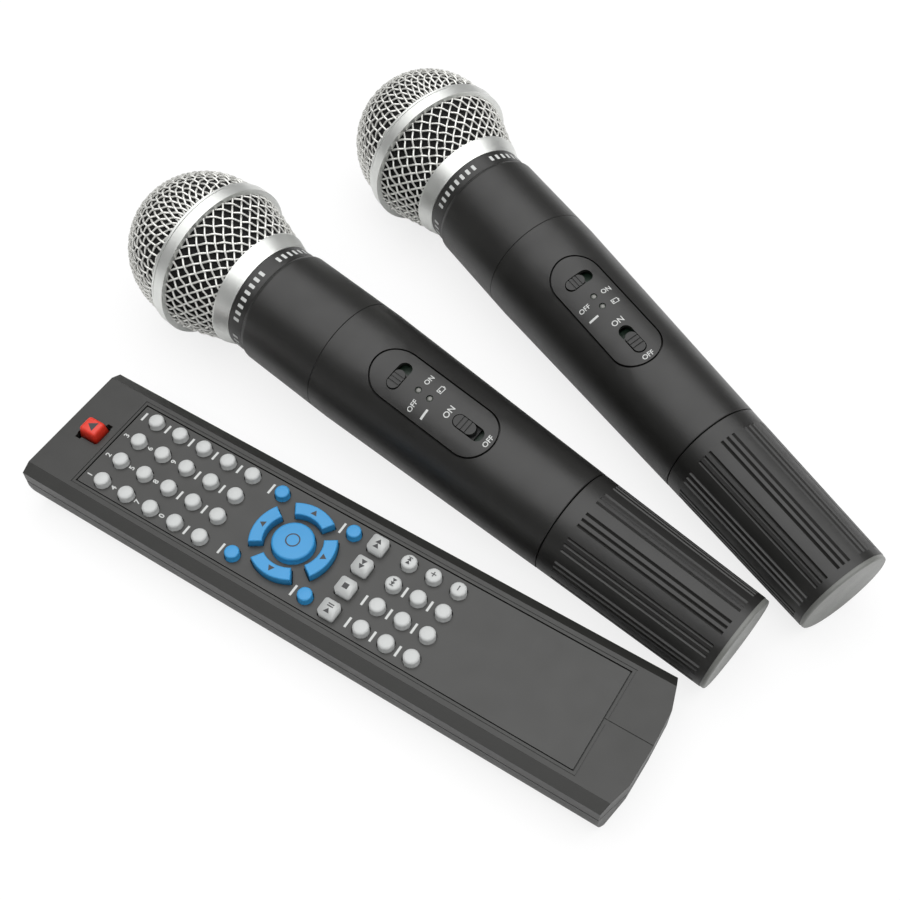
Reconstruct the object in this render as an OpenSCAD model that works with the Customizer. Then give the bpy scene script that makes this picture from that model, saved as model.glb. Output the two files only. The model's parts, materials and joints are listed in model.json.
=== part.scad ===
// Accessory set of a disc player for singing along: two wireless hand microphones that lie on a
// table beside an infrared remote control. X runs along the remote towards its tail, Y across it
// towards the microphones, and Z up from the table.

/* [Remote body] */
// Length of the remote
remote_l = 207.6; // [203:0.1:225]
// Width of the remote over its side walls
remote_w = 46.2; // [45.4:0.1:54]
// Height of the remote's flat top over the table
remote_h = 17; // [17:0.1:19]
// Distance of the seam between the two shells from the flat top
seam_drop = 6.6; // [6:0.1:7]
// Height of the fine groove along that seam
seam_groove_h = 0.45; // [0.3:0.05:0.6]
// Depth of that groove
seam_groove_d = 0.5; // [0.3:0.05:0.8]
// Wall thickness of both shells
shell_wall = 1.8; // [1.5:0.1:2]
// Width of the sloping shoulder along each side
shoulder_w = 3.5; // [2.5:0.1:4]
// Drop of the sloping shoulder
shoulder_drop = 2; // [1:0.1:2.5]
// How far the bottom shell draws in on each side
belly_in = 5.3; // [3:0.1:6]
// Height at which the bottom shell reaches its full width
belly_h = 8; // [6:0.1:9]
// Length of the tail's slanted corners across the width
tail_corner_w = 10.6; // [6:0.1:14]
// How far the tail bows out between its corners
tail_bow = 3.4; // [2:0.1:5]
// Width of the shallow groove that runs from the faceplate to the tail
tail_groove_w = 1.5; // [1:0.1:2.5]
// Depth of that groove
tail_groove_d = 0.25; // [0.15:0.05:0.5]

/* [Faceplate] */
// Distance from the faceplate to the tail
plate_from_tail = 15.3; // [14:0.1:18]
// Width of the faceplate
plate_w = 33.4; // [33.2:0.1:35]
// Thickness of the faceplate
plate_t = 0.8; // [0.6:0.1:1]
// Distance from the remote's head end to the faceplate
plate_from_head = 17.5; // [16.8:0.1:18]
// How far the faceplate lies under the shell's top
plate_sunk = 0.15; // [0.1:0.05:0.3]
// Gap round the faceplate
plate_gap = 0.4; // [0.2:0.05:0.6]
// Width of the flat rim between that gap and the fine groove round it
rim_w = 0.8; // [0.6:0.1:1]
// Width of the fine groove round the faceplate
rim_groove_w = 0.3; // [0.2:0.05:0.4]
// Depth of that groove
rim_groove_d = 0.2; // [0.1:0.05:0.3]

/* [Keys] */
// Radius of a white round key
key_r = 2.5; // [2.4:0.05:3]
// Height of the round and square keys over the faceplate
key_rise = 2.5; // [1.5:0.1:3.5]
// How far a key travels when it is pressed
key_travel = 0.9; // [0.5:0.05:1]
// Width of a key's retaining flange outside the key
flange_w = 0.7; // [0.5:0.05:0.8]
// Thickness of that flange
flange_t = 0.9; // [0.6:0.05:1]
// Gap between a key and its hole
key_gap = 0.3; // [0.2:0.05:0.4]
// Distance from the head end to the first row of number keys
upper_from_head = 24.6; // [24.2:0.1:26]
// Pitch of the number keys along the remote
upper_pitch_x = 9.55; // [9:0.05:9.8]
// Pitch of the number keys across the remote
upper_pitch_y = 8.7; // [8.3:0.05:8.9]
// Distance from the head end to the first row of function keys
lower_from_head = 121; // [120:0.1:121.5]
// Pitch of the function keys along the remote
lower_pitch_x = 8.6; // [8.2:0.05:8.7]
// Pitch of the function keys across the remote
lower_pitch_y = 8.4; // [8.2:0.05:8.8]
// Distance from the head end to the row of square keys
square_from_head = 110; // [109.5:0.1:111]
// Side of a square key
square_key = 5.3; // [4.4:0.1:5.4]
// Distance from the head end to the centre of the key ring
ring_from_head = 88; // [87:0.1:89]
// Radius of the centre key
enter_r = 6.6; // [6:0.1:7.2]
// Inner radius of the four arrow keys
arrow_r_in = 9.2; // [8.8:0.1:9.6]
// Outer radius of the four arrow keys
arrow_r_out = 13.4; // [12.6:0.1:13.6]
// Angle that one arrow key covers
arrow_angle = 66; // [56:1:68]
// Radius of a small blue key
small_r = 2.3; // [2:0.05:2.7]
// Distance of the small blue keys from the ring's centre along the remote
small_dx = 13.3; // [12.9:0.1:13.6]
// Distance of the small blue keys from the ring's centre across the remote
small_dy = 12.5; // [12.2:0.1:12.8]
// Distance from the head end to the red key
red_from_head = 9.6; // [9:0.1:10.8]
// Length of the red key along the remote
red_l = 7.8; // [7:0.1:8]
// Width of the red key
red_w = 7; // [6:0.1:8]
// Height of the red key over the shell
red_rise = 3.4; // [2.5:0.1:4.5]
// Width of the slot at two corners of its hole
red_slot_w = 2; // [1:0.1:3]
// How far the slots reach past the red key
red_slot_out = 1.1; // [0.6:0.1:1.5]

/* [Remote inside] */
// Thickness of the shell under the faceplate
floor_t = 1.4; // [1:0.1:1.6]
// Thickness of the keypad mat
mat_t = 1; // [0.8:0.1:1.2]
// Thickness of the circuit boards
board_t = 1.2; // [1:0.1:1.6]
// Diameter of a remote battery
aaa_d = 10.5; // [10.2:0.1:10.5]
// Length of a remote battery with its pip
aaa_l = 44.5; // [43.5:0.1:44.5]
// Distance from the battery door's head side to the tail
door_from_tail = 58.2; // [57.1:0.1:58.2]
// Width of the opening for the battery door
door_w = 31; // [28:0.1:31]
// Thickness of the battery door
door_t = 1.6; // [1.2:0.1:1.6]
// Radius of the screw shanks
screw_r = 1.1; // [0.9:0.05:1.2]
// Distance of the screws from the centre line
screw_y = 13; // [12.8:0.1:13.3]
// Width of the infrared lens
lens_w = 12; // [8:0.5:16]
// Height of the infrared lens
lens_h = 3.6; // [3:0.1:4]

/* [Microphone] */
// Length of a microphone from the centre of its ball to its tail
mic_l = 217.8; // [214:0.1:228]
// Radius of the wire dome
dome_r = 26.7; // [26:0.1:27.4]
// Thickness of the wire mesh
mesh_t = 0.8; // [0.6:0.1:1]
// How far the band stands out from the dome
band_rise = 1.1; // [0.9:0.1:1.5]
// Place of the band's head side from the ball's centre
band_at = 2.4; // [2:0.1:3]
// Width of the band
band_w = 5.6; // [5:0.1:6.4]
// Place of the collar's head side from the ball's centre
collar_at = 24.8; // [24.4:0.1:26]
// Width of the collar
collar_w = 5.5; // [5:0.1:6]
// Radius of the mesh where it meets the collar
collar_head_r = 20.9; // [20.5:0.1:21.2]
// Radius of the head sleeve and of the barrel's head end
sleeve_r = 20.1; // [19.9:0.1:21]
// Place of the seam between the head sleeve and the barrel
sleeve_end = 67.2; // [62:0.1:70]
// Place of the seam between the barrel and the battery grip
barrel_end = 157.8; // [157.5:0.1:159]
// Radius of the barrel at the battery grip
barrel_tail_r = 17.4; // [17.3:0.05:18]
// Radius of the microphone's tail
tail_r = 15.75; // [15.6:0.05:16.6]
// Wall thickness of the head sleeve
sleeve_wall = 2.1; // [1.6:0.1:2.3]
// Wall thickness of the barrel
barrel_wall = 2.2; // [1.9:0.1:2.2]
// Thickness of the disc on the microphone's tail
end_disc_t = 1.45; // [1:0.05:2]
// Width of a groove in the battery grip
groove_w = 1; // [0.6:0.1:1.2]
// Number of groups of three grooves round the grip
groove_groups = 12; // [8:1:12]
// Angle between the grooves of a group
groove_step = 7; // [6:0.5:8]

/* [Microphone switches] */
// Length of the oval switch panel
panel_l = 46; // [43:0.5:47]
// Width of the oval switch panel
panel_w = 16.6; // [15.8:0.1:17]
// Place of the panel's middle from the ball's centre
panel_at = 106.1; // [105:0.1:107.5]
// Thickness of the switch panel
panel_t = 1.4; // [1:0.1:1.5]
// Gap round the switch panel
panel_gap = 0.6; // [0.3:0.05:0.7]
// Distance of the power switch from the panel's middle, towards the ball
power_ahead = 13.6; // [12.5:0.1:14.5]
// Distance of the mute switch from the panel's middle, towards the tail
mute_behind = 13.9; // [12.5:0.1:15]
// Width of both switch slots
slot_w = 4.6; // [4:0.1:5]
// Length of the power switch's knob across the microphone
power_knob_l = 6.6; // [5.5:0.1:7]
// Length of the mute switch's knob along the microphone
mute_knob_l = 7.8; // [6.5:0.1:8.2]
// Travel of both switches
switch_travel = 2.8; // [2:0.1:3]
// Gap round a switch knob
knob_gap = 0.3; // [0.2:0.05:0.4]

/* [Microphone inside] */
// Thickness of the foam in the ball
foam_t = 2.5; // [1.5:0.1:2.6]
// Radius of the capsule
capsule_r = 12.3; // [10:0.1:14]
// Radius of the neck that carries the grille's collar
neck_r = 17; // [16.6:0.1:17]
// Gap between the neck and the collar
neck_gap = 0.4; // [0.3:0.05:0.5]
// Diameter of a microphone battery
aa_d = 14.5; // [13.8:0.1:14.5]
// Length of a microphone battery with its pip
aa_l = 50.5; // [49.5:0.1:50.5]
// Radius of the spigot that the battery grip slides over
spigot_r = 15.7; // [15.6:0.05:15.75]

/* [Layout on the table] */
// Place of the near microphone's ball from the remote's head end
mic_a_x = -0.9; // [-20:0.1:20]
// Distance of that ball from the remote's centre line
mic_a_y = 74; // [72.5:0.1:90]
// Turn of the near microphone on the table
mic_a_turn = -8.8; // [-12:0.01:0]
// Roll of the near microphone about its own length
mic_a_roll = 15.5; // [0:0.5:30]
// Place of the far microphone's ball from the remote's head end
mic_b_x = 34.2; // [20:0.1:50]
// Distance of that ball from the remote's centre line
mic_b_y = 159.2; // [158:0.1:175]
// Turn of the far microphone on the table
mic_b_turn = -23.45; // [-26:0.01:-18]
// Roll of the far microphone about its own length
mic_b_roll = 14; // [0:0.5:30]
// Turn of the near microphone's grooves from its switch panel
mic_a_groove_turn = 4.5; // [-15:0.5:15]
// Turn of the far microphone's grooves from its switch panel
mic_b_groove_turn = -3.5; // [-15:0.5:15]

/* [Hidden] */
$fn = 64;

// A cut runs this far past the face that it opens
past = 1;
// Gap between pieces of different bodies, and the small seat gap inside one body
body_gap = 0.3;
seat_gap = 0.05;
// A hidden seam line is a chamfer of this width on both edges
seam_edge = 0.2;

// Heights in the remote, from the top down
half_w = remote_w / 2;
seam_h = remote_h - seam_drop;
plate_l = remote_l - plate_from_head - plate_from_tail;
plate_top = remote_h - plate_sunk;
plate_under = plate_top - plate_t;
floor_under = plate_under - floor_t;
key_top = plate_top + key_rise;
flange_top = floor_under - 0.2;
flange_under = flange_top - flange_t;
mat_top = flange_under - key_travel - 0.1;
board_top = mat_top - mat_t;
board_under = board_top - board_t;
side_top = remote_h - shoulder_drop;

// Places along the remote, from its head end
board_from = 5;
chips_at = [52, 70, 118];
door_from_head = remote_l - door_from_tail;
board_to = door_from_head - 6.1;
screw_x = [14, door_from_head - 3.5];
battery_mid_z = 0.4 + door_t + body_gap + aaa_d / 2;
battery_y = aaa_d / 2 + 0.35;
contact_t = 0.5;
spring_l = 1.9;
rib_t = 1;
compartment_from = door_from_head;
battery_from = compartment_from + rib_t + contact_t + spring_l;
battery_to = battery_from + aaa_l;
compartment_to = battery_to + contact_t + spring_l;
board_half_w = 16.4;
lamp_r = 2.4;
boss_r = 2.5;
screw_head_r = screw_r + 1.5;
foot_r = screw_head_r + 1.2;

// Places along a microphone, from the centre of its ball
band_to = band_at + band_w;
band_r = dome_r + band_rise;
collar_to = collar_at + collar_w;
ring_from = collar_to + body_gap;
ring_r = sleeve_r - 0.8;
ring_to = ring_from + 5.8;
taper_from = sleeve_end + 6;
power_at = panel_at - power_ahead;
mute_at = panel_at + mute_behind;
led_at = [panel_at - 5.8, panel_at - 1.3];
led_r = 0.9;
grip_from = barrel_end + body_gap;
disc_from = mic_l - end_disc_t;
skirt_r = dome_r - 0.3;
skirt_swell = 0.4;
collar_r = collar_head_r + 0.35;
collar_tail_r = ring_r;
foam_r = dome_r - mesh_t - body_gap;
shoulder_at = collar_at + 0.2;
neck_wall = 1.6;
tray_from = barrel_end - 21.3;
tray_wall = 1.5;
cell_from = tray_from + tray_wall + 1.2;
cell_to = cell_from + aa_l;
tray_to = cell_to + 1.2 + tray_wall;
cell_y = aa_d / 2 + 0.15;
grip_hollow_to = disc_from - 1.8;
grip_wall = 1.4;
grip_tail_wall = 2.15;
mic_board_z = 9;
mic_board_w = 22;
mic_board_from = sleeve_end + 6;

// How a microphone lies: on its band and on the rim of its tail
rest_from = band_to;
rest_to = disc_from;
tilt = atan((band_r - tail_r) / (rest_to - rest_from));
axis_h = rest_from * sin(tilt) + band_r * cos(tilt);

// The whole set stands with the middle of its outline on the origin
set_x_low = min(0, mic_a_x - dome_r);
set_x_high = max(remote_l, mic_b_x + mic_l * cos(mic_b_turn) * cos(tilt) - tail_r * sin(mic_b_turn));
set_y_high = mic_b_y + dome_r;
shift = [-(set_x_low + set_x_high) / 2, -(set_y_high - half_w) / 2, 0];

key_rows_y = [for (j = [0:3]) (j - 1.5)];

// Colours of the finishes
charcoal = "#3c3d3c";
plate_grey = "#4a4b4a";
key_white = "#e6e8e8";
key_blue = "#3f9be8";
key_red = "#f0402c";
mic_black = "#343534";
silver = "#c9cccd";
disc_grey = "#8d908c";

// Barrel radius at a place along the microphone
function barrel_r(t) = t < taper_from ? sleeve_r
    : sleeve_r + (barrel_tail_r - sleeve_r) * (t - taper_from) / (barrel_end - taper_from);

// Grip radius at a place along the microphone
function grip_r(t) = barrel_tail_r - seat_gap
    + (tail_r - barrel_tail_r + seat_gap) * (t - grip_from) / (disc_from - grip_from);

// Puts the remote's own frame, with its head end at zero, in the set
module on_remote() {
    translate(shift) children();
}

// Puts a microphone's own frame, with its length on X and its switches on top, in the set
module on_mic(x, y, turn, roll) {
    translate(shift + [x, y, axis_h]) rotate([0, tilt, turn]) rotate([roll, 0, 0]) children();
}

module on_mic_a() {
    on_mic(mic_a_x, mic_a_y, mic_a_turn, mic_a_roll) children();
}

module on_mic_b() {
    on_mic(mic_b_x, mic_b_y, mic_b_turn, mic_b_roll) children();
}

// Turns an outline of radius against place into a round piece along X
module turned(points) {
    rotate([0, 90, 0]) rotate_extrude($fn = 96) polygon(points);
}

// Rounded rectangle, centred
module rounded(l, w, r) {
    square([l - 2 * r, w], center = true);
    square([l, w - 2 * r], center = true);
    for (x = [-1, 1], y = [-1, 1])
        translate([x * (l / 2 - r), y * (w / 2 - r)]) circle(r, $fn = 32);
}

// Remote: outline in plan, drawn in by inset
module plan(inset) {
    w = half_w - inset;
    c = tail_corner_w;
    tail = remote_l - inset;
    polygon([
        [inset, -w], [tail - tail_bow, -w], [tail - 0.35, -w + c], [tail, 0],
        [tail - 0.35, w - c], [tail - tail_bow, w], [inset, w]
    ]);
}

// Remote: cross-section of the top shell from the seam up, drawn in by inset
module top_section(inset) {
    w = half_w - inset;
    rise = inset * 0.6;
    polygon([
        [-w, seam_h - past], [-w, side_top - rise], [-w + shoulder_w, remote_h - inset],
        [w - shoulder_w, remote_h - inset], [w, side_top - rise], [w, seam_h - past]
    ]);
}

// Remote: cross-section of the bottom shell from the table up, drawn in by inset
module bottom_section(inset) {
    w = half_w - inset;
    left = [for (a = [0:10:90])
        [-(w - belly_in + belly_in * sin(a)), inset + (belly_h - inset) * (1 - cos(a))]];
    right = [for (p = left) [-p[0], p[1]]];
    polygon(concat(left, [[-w, seam_h + past], [w, seam_h + past]], [for (i = [9:-1:0]) right[i]]));
}

// Runs a cross-section drawn in Y and Z along the remote
module along_remote() {
    translate([-past, 0, 0]) rotate([90, 0, 90]) linear_extrude(remote_l + 2 * past) children();
}

// Remote: solid of the top shell, drawn in by inset
module top_solid(inset) {
    intersection() {
        along_remote() top_section(inset);
        translate([0, 0, seam_h - past]) linear_extrude(remote_h) plan(inset);
    }
}

// Remote: solid of the bottom shell, drawn in by inset, with its ends slanted under the belly
module bottom_solid(inset) {
    slant = 2.6;
    intersection() {
        along_remote() bottom_section(inset);
        translate([0, 0, -past]) linear_extrude(remote_h) plan(inset);
        translate([0, half_w + past, 0]) rotate([90, 0, 0]) linear_extrude(remote_w + 2 * past)
            polygon([
                [slant + inset, inset], [remote_l - slant - inset, inset], [remote_l - inset, belly_h],
                [remote_l - inset, seam_h + past], [inset, seam_h + past], [inset, belly_h]
            ]);
    }
}

// Places the children at each of the four screws
module at_screws() {
    for (x = screw_x, y = [-1, 1]) translate([x, y * screw_y, 0]) children();
}

// Plan of one arrow key that points along the angle, grown by grow
module arrow_plan(angle, grow) {
    spread = arrow_angle + 2 * asin(grow / arrow_r_in);
    rotate(angle) intersection() {
        difference() {
            circle(arrow_r_out + grow, $fn = 96);
            circle(arrow_r_in - grow, $fn = 96);
        }
        polygon([[0, 0], for (s = [-1, 1]) 30 * [cos(s * spread / 2), sin(s * spread / 2)]]);
    }
}

// Plans of the keys, grown by grow: the holes, flanges and tops all come from these
module round_row_plan(x, pitch, grow) {
    for (k = key_rows_y) translate([x, k * pitch]) circle(key_r + grow);
}

module number_row_plan(row, grow) {
    round_row_plan(upper_from_head + (row - 1) * upper_pitch_x, upper_pitch_y, grow);
}

module function_row_plan(row, grow) {
    round_row_plan(lower_from_head + (row - 1) * lower_pitch_x, lower_pitch_y, grow);
}

module square_plan(column, grow) {
    side = square_key + 2 * grow;
    translate([square_from_head, key_rows_y[column] * lower_pitch_y]) rounded(side, side, 0.7 + grow);
}

module small_plan(sx, sy, grow) {
    translate([ring_from_head + sx * small_dx, sy * small_dy]) circle(small_r + grow);
}

module ring_plan(angle, grow) {
    translate([ring_from_head, 0]) arrow_plan(angle, grow);
}

module enter_plan(grow) {
    translate([ring_from_head, 0]) circle(enter_r + grow);
}

module red_plan(grow) {
    translate([red_from_head, 0]) rounded(red_l + 2 * grow, red_w + 2 * grow, 0.8 + grow);
}

// Every key that comes up through the faceplate
module plate_key_plans(grow) {
    for (row = [1:5]) number_row_plan(row, grow);
    for (row = [1:3]) function_row_plan(row, grow);
    for (column = [0:3]) square_plan(column, grow);
    for (sx = [-1, 1], sy = [-1, 1]) small_plan(sx, sy, grow);
    for (angle = [0:90:270]) ring_plan(angle, grow);
    enter_plan(grow);
}

// A key: its top is drawn in by a narrow edge, and its flange holds it under the shell
module key_body(top, edge = 0.35) {
    translate([0, 0, flange_under + flange_t / 2]) linear_extrude(top - edge - flange_under - flange_t / 2)
        children(0);
    translate([0, 0, top - edge - 0.1]) linear_extrude(edge + 0.1) children(1);
    translate([0, 0, flange_under]) linear_extrude(flange_t) children(2);
}

// Remote: outline of the faceplate's pocket, grown by grow
module pocket_plan(grow) {
    square([plate_l + 2 * (plate_gap + grow), plate_w + 2 * (plate_gap + grow)], center = true);
}

module remote_top_shell() {
    inner = shell_wall;
    plate_x = plate_from_head + plate_l / 2;
    on_remote() color(charcoal) difference() {
        union() {
            difference() {
                top_solid(0);
                intersection() {
                    top_solid(inner);
                    translate([-past, -remote_w, -past])
                        cube([remote_l * 2, remote_w * 2, floor_under + past]);
                }
                translate([plate_x, 0, plate_under]) linear_extrude(plate_t + past) pocket_plan(0);
                translate([plate_from_head + plate_l, -tail_groove_w / 2, remote_h - tail_groove_d])
                    cube([remote_l, tail_groove_w, past]);
                translate([plate_x, 0, remote_h - rim_groove_d]) linear_extrude(past) difference() {
                    pocket_plan(rim_w + rim_groove_w);
                    pocket_plan(rim_w);
                }
            }
            at_screws() translate([0, 0, seam_h + 0.2]) cylinder(r = boss_r, h = floor_under - seam_h);
        }
        translate([-past, -remote_w, seam_h - 2 * past]) cube([remote_l * 2, remote_w * 2, 2 * past]);
        difference() {
            translate([-past, -remote_w, seam_h - past])
                cube([remote_l * 2, remote_w * 2, seam_groove_h + past]);
            translate([0, 0, seam_h - 2 * past]) linear_extrude(remote_h) plan(seam_groove_d);
        }
        translate([0, 0, floor_under - past]) linear_extrude(floor_t + 2 * past) plate_key_plans(key_gap);
        translate([0, 0, floor_under - past]) linear_extrude(remote_h) {
            red_plan(key_gap);
            for (s = [-1, 1]) translate([red_from_head + s * (red_l - red_slot_w) / 2, s * red_w / 2])
                square([red_slot_w, 2 * red_slot_out], center = true);
        }
        at_screws() translate([0, 0, seam_h]) cylinder(r = screw_r + seat_gap, h = floor_under - seam_h);
    }
}

module remote_bottom_shell() {
    groove_z = 0.9;
    groove_h = 0.9;
    groove_in = 1.2;
    inner = shell_wall;
    cavity_to = remote_l - inner;
    on_remote() color(charcoal) difference() {
        union() {
            difference() {
                bottom_solid(0);
                bottom_solid(inner);
            }
            intersection() {
                bottom_solid(inner / 2);
                union() {
                    at_screws() cylinder(r = boss_r, h = seam_h);
                    at_screws() cylinder(r = foot_r, h = 4.4);
                    for (x = [board_from + 4, board_to - 8], y = [-1, 1])
                        translate([x, y * 8.7 - 1, 0]) cube([2, 2, board_under]);
                    for (x = [compartment_from, compartment_to])
                        translate([x, -half_w, 0.4 + door_t + body_gap])
                            cube([rib_t, remote_w, battery_mid_z + 2]);
                    translate([compartment_from - 1.2, -half_w, 0]) cube([1.2 + rib_t, remote_w, 3.4]);
                }
            }
        }
        translate([-past, -remote_w, seam_h]) cube([remote_l * 2, remote_w * 2, 2 * past]);
        translate([door_from_head, -door_w / 2, -past])
            cube([remote_l, door_w, past + 0.4 + door_t + body_gap]);
        translate([door_from_head, -door_w / 2 - groove_in, groove_z])
            cube([remote_l, door_w + 2 * groove_in, groove_h]);
        translate([-past, -lens_w / 2 - seat_gap, board_under - 1.4 - lens_h])
            cube([past * 2 + inner, lens_w + 2 * seat_gap, lens_h + 2 * seat_gap]);
        at_screws() {
            translate([0, 0, -past]) cylinder(r = screw_r + 0.25, h = seam_h + 2 * past);
            translate([0, 0, -past]) cylinder(r = screw_head_r, h = past + 3);
        }
    }
}

module remote_faceplate() {
    plate_x = plate_from_head + plate_l / 2;
    on_remote() color(plate_grey) difference() {
        translate([plate_x, 0, plate_under]) linear_extrude(plate_t) rounded(plate_l, plate_w, 0.4);
        translate([0, 0, plate_under - past]) linear_extrude(plate_t + 2 * past)
            plate_key_plans(key_gap);
    }
}

module remote_battery_door() {
    tongue = 0.9;
    w = door_w - 2 * body_gap;
    on_remote() color(charcoal) difference() {
        intersection() {
            union() {
                translate([door_from_head + body_gap, -w / 2, 0.4]) cube([remote_l, w, door_t]);
                translate([door_from_head + body_gap, -w / 2 - tongue, 0.9 + 0.15])
                    cube([remote_l, w + 2 * tongue, 0.6]);
            }
            bottom_solid(0);
        }
        for (i = [0:3]) translate([door_from_head + 10 + 2.2 * i, -6, 0.4 - past])
            cube([0.9, 12, past + 0.5]);
    }
}

module remote_circuit_board() {
    on_remote() color("#2f6b45") {
        difference() {
            translate([board_from, -board_half_w, board_under])
                cube([board_to - board_from, 2 * board_half_w, board_t]);
            at_screws() cylinder(r = boss_r + body_gap, h = remote_h);
        }
        translate([26, -8, board_under - 1.6]) cube([12, 10, 1.6 + board_t / 2]);
        for (x = chips_at) translate([x, -4, board_under - 2.2]) cube([4, 7, 2.2 + board_t / 2]);
        translate([shell_wall + lamp_r + body_gap, 0, board_under - lamp_r + 0.1]) rotate([0, 90, 0]) {
            cylinder(r = lamp_r, h = 5.4);
            sphere(lamp_r);
        }
    }
}

module remote_keypad_mat() {
    on_remote() color("#8f9294") difference() {
        translate([board_from, -board_half_w, board_top])
            cube([board_to - board_from, 2 * board_half_w, mat_t]);
        at_screws() cylinder(r = boss_r + body_gap, h = remote_h);
    }
}

module remote_batteries() {
    pip = 0.9;
    on_remote() color("#7c8086") for (side = [-1, 1]) {
        translate([side > 0 ? battery_from : battery_from + pip, side * battery_y, battery_mid_z])
            rotate([0, 90, 0]) cylinder(d = aaa_d, h = aaa_l - pip);
        translate([side > 0 ? battery_to - pip : battery_from, side * battery_y, battery_mid_z])
            rotate([0, 90, 0]) cylinder(r = 1.8, h = pip);
    }
}

module remote_battery_contacts() {
    plate_h = 8;
    near = compartment_from + rib_t;
    far = compartment_to - contact_t;
    on_remote() color("#d8d4c4") {
        for (x = [near, far]) translate([x, -battery_y - 4, battery_mid_z - plate_h / 2])
            cube([contact_t, 2 * battery_y + 8, plate_h]);
        for (side = [-1, 1]) translate([0, side * battery_y, battery_mid_z]) rotate([0, 90, 0]) {
            translate([0, 0, near + contact_t]) cylinder(r1 = 3, r2 = side > 0 ? 2 : 1.4, h = spring_l);
            translate([0, 0, battery_to]) cylinder(r1 = side > 0 ? 1.4 : 2, r2 = 3, h = spring_l);
        }
    }
}

module remote_ir_lens() {
    on_remote() color("#2a1418") translate([-0.25, -lens_w / 2, board_under - 1.4 - lens_h + seat_gap])
        cube([0.25 + shell_wall, lens_w, lens_h]);
}

module remote_screws() {
    on_remote() color(silver) at_screws() {
        difference() {
            translate([0, 0, 1.6]) cylinder(r = screw_head_r - 0.3, h = 1.4);
            translate([-1.3, -0.25, 1]) cube([2.6, 0.5, 1.3]);
            translate([-0.25, -1.3, 1]) cube([0.5, 2.6, 1.3]);
        }
        translate([0, 0, 3]) cylinder(r = screw_r, h = floor_under - 3.6);
    }
}

module red_key() {
    on_remote() color(key_red) key_body(remote_h + red_rise, 0.5) {
        red_plan(0);
        red_plan(-0.5);
        red_plan(flange_w);
    }
}

module enter_key() {
    on_remote() color(key_blue) key_body(key_top + 0.3) {
        enter_plan(0);
        enter_plan(-0.35);
        enter_plan(flange_w);
    }
}

// One arrow key of the ring
module arrow_key(angle) {
    on_remote() color(key_blue) key_body(key_top + 0.2) {
        ring_plan(angle, 0);
        ring_plan(angle, -0.35);
        ring_plan(angle, flange_w);
    }
}

module up_arrow_key() {
    arrow_key(180);
}

module down_arrow_key() {
    arrow_key(0);
}

module left_arrow_key() {
    arrow_key(270);
}

module right_arrow_key() {
    arrow_key(90);
}

// One small blue key
module small_key(sx, sy) {
    on_remote() color(key_blue) key_body(key_top) {
        small_plan(sx, sy, 0);
        small_plan(sx, sy, -0.35);
        small_plan(sx, sy, flange_w);
    }
}

module eject_key() {
    small_key(-1, 1);
}

module setup_key() {
    small_key(-1, -1);
}

module menu_key() {
    small_key(1, 1);
}

module title_key() {
    small_key(1, -1);
}

// One square key
module square_cap(column) {
    on_remote() color(key_white) key_body(key_top) {
        square_plan(column, 0);
        square_plan(column, -0.35);
        square_plan(column, flange_w);
    }
}

module play_key() {
    square_cap(0);
}

module stop_key() {
    square_cap(1);
}

module reverse_key() {
    square_cap(2);
}

module forward_key() {
    square_cap(3);
}

// Four number keys in a row across the remote
module number_row(row) {
    on_remote() color(key_white) key_body(key_top) {
        number_row_plan(row, 0);
        number_row_plan(row, -0.35);
        number_row_plan(row, flange_w);
    }
}

module number_keys_row_1() {
    number_row(1);
}

module number_keys_row_2() {
    number_row(2);
}

module number_keys_row_3() {
    number_row(3);
}

module number_keys_row_4() {
    number_row(4);
}

module number_keys_row_5() {
    number_row(5);
}

// Four function keys in a row across the remote
module function_row(row) {
    on_remote() color(key_white) key_body(key_top) {
        function_row_plan(row, 0);
        function_row_plan(row, -0.35);
        function_row_plan(row, flange_w);
    }
}

module function_keys_row_1() {
    function_row(1);
}

module function_keys_row_2() {
    function_row(2);
}

module function_keys_row_3() {
    function_row(3);
}

// Outside radius of the wire skirt, which swells a little between the band and the collar
function skirt_at(t) = skirt_r + (collar_head_r - skirt_r) * (t - band_to) / (collar_at - band_to)
    + skirt_swell * sin(180 * (t - band_to) / (collar_at - band_to));

// Half of a ball's outline on the head side of a place, for turning
module ball_outline(r, to) {
    intersection() {
        circle(r, $fn = 96);
        translate([0, -2 * dome_r]) square([2 * dome_r, 2 * dome_r + to]);
    }
}

// Microphone: wire dome and wire skirt, on both sides of the band
module grille_mesh() {
    places = [for (i = [0:6]) band_to + (collar_at - band_to) * i / 6];
    color(silver) {
        rotate([0, 90, 0]) rotate_extrude($fn = 96) difference() {
            ball_outline(dome_r, band_at);
            ball_outline(dome_r - mesh_t, band_at + past);
        }
        turned(concat(
            [for (t = places) [skirt_at(t), t]],
            [for (i = [6:-1:0]) [skirt_at(places[i]) - mesh_t, places[i]]]
        ));
    }
}

module grille_band() {
    inner = dome_r - mesh_t - 0.1;
    lip = 1.1;
    color(silver) turned([
        [inner, band_at], [band_r - 0.7, band_at], [band_r - 0.4, band_at + 0.3],
        [band_r - 0.4, band_at + lip], [band_r - 0.8, band_at + lip + 0.15],
        [band_r - 0.3, band_at + lip + 0.3], [band_r, band_at + lip + 0.6],
        [band_r, band_to], [inner, band_to]
    ]);
}

module grille_collar() {
    bore = neck_r + neck_gap;
    color(silver) turned([
        [bore, collar_at], [collar_r, collar_at], [collar_r - 0.05, collar_at + 0.5],
        [collar_tail_r, collar_to], [bore, collar_to]
    ]);
}

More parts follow.
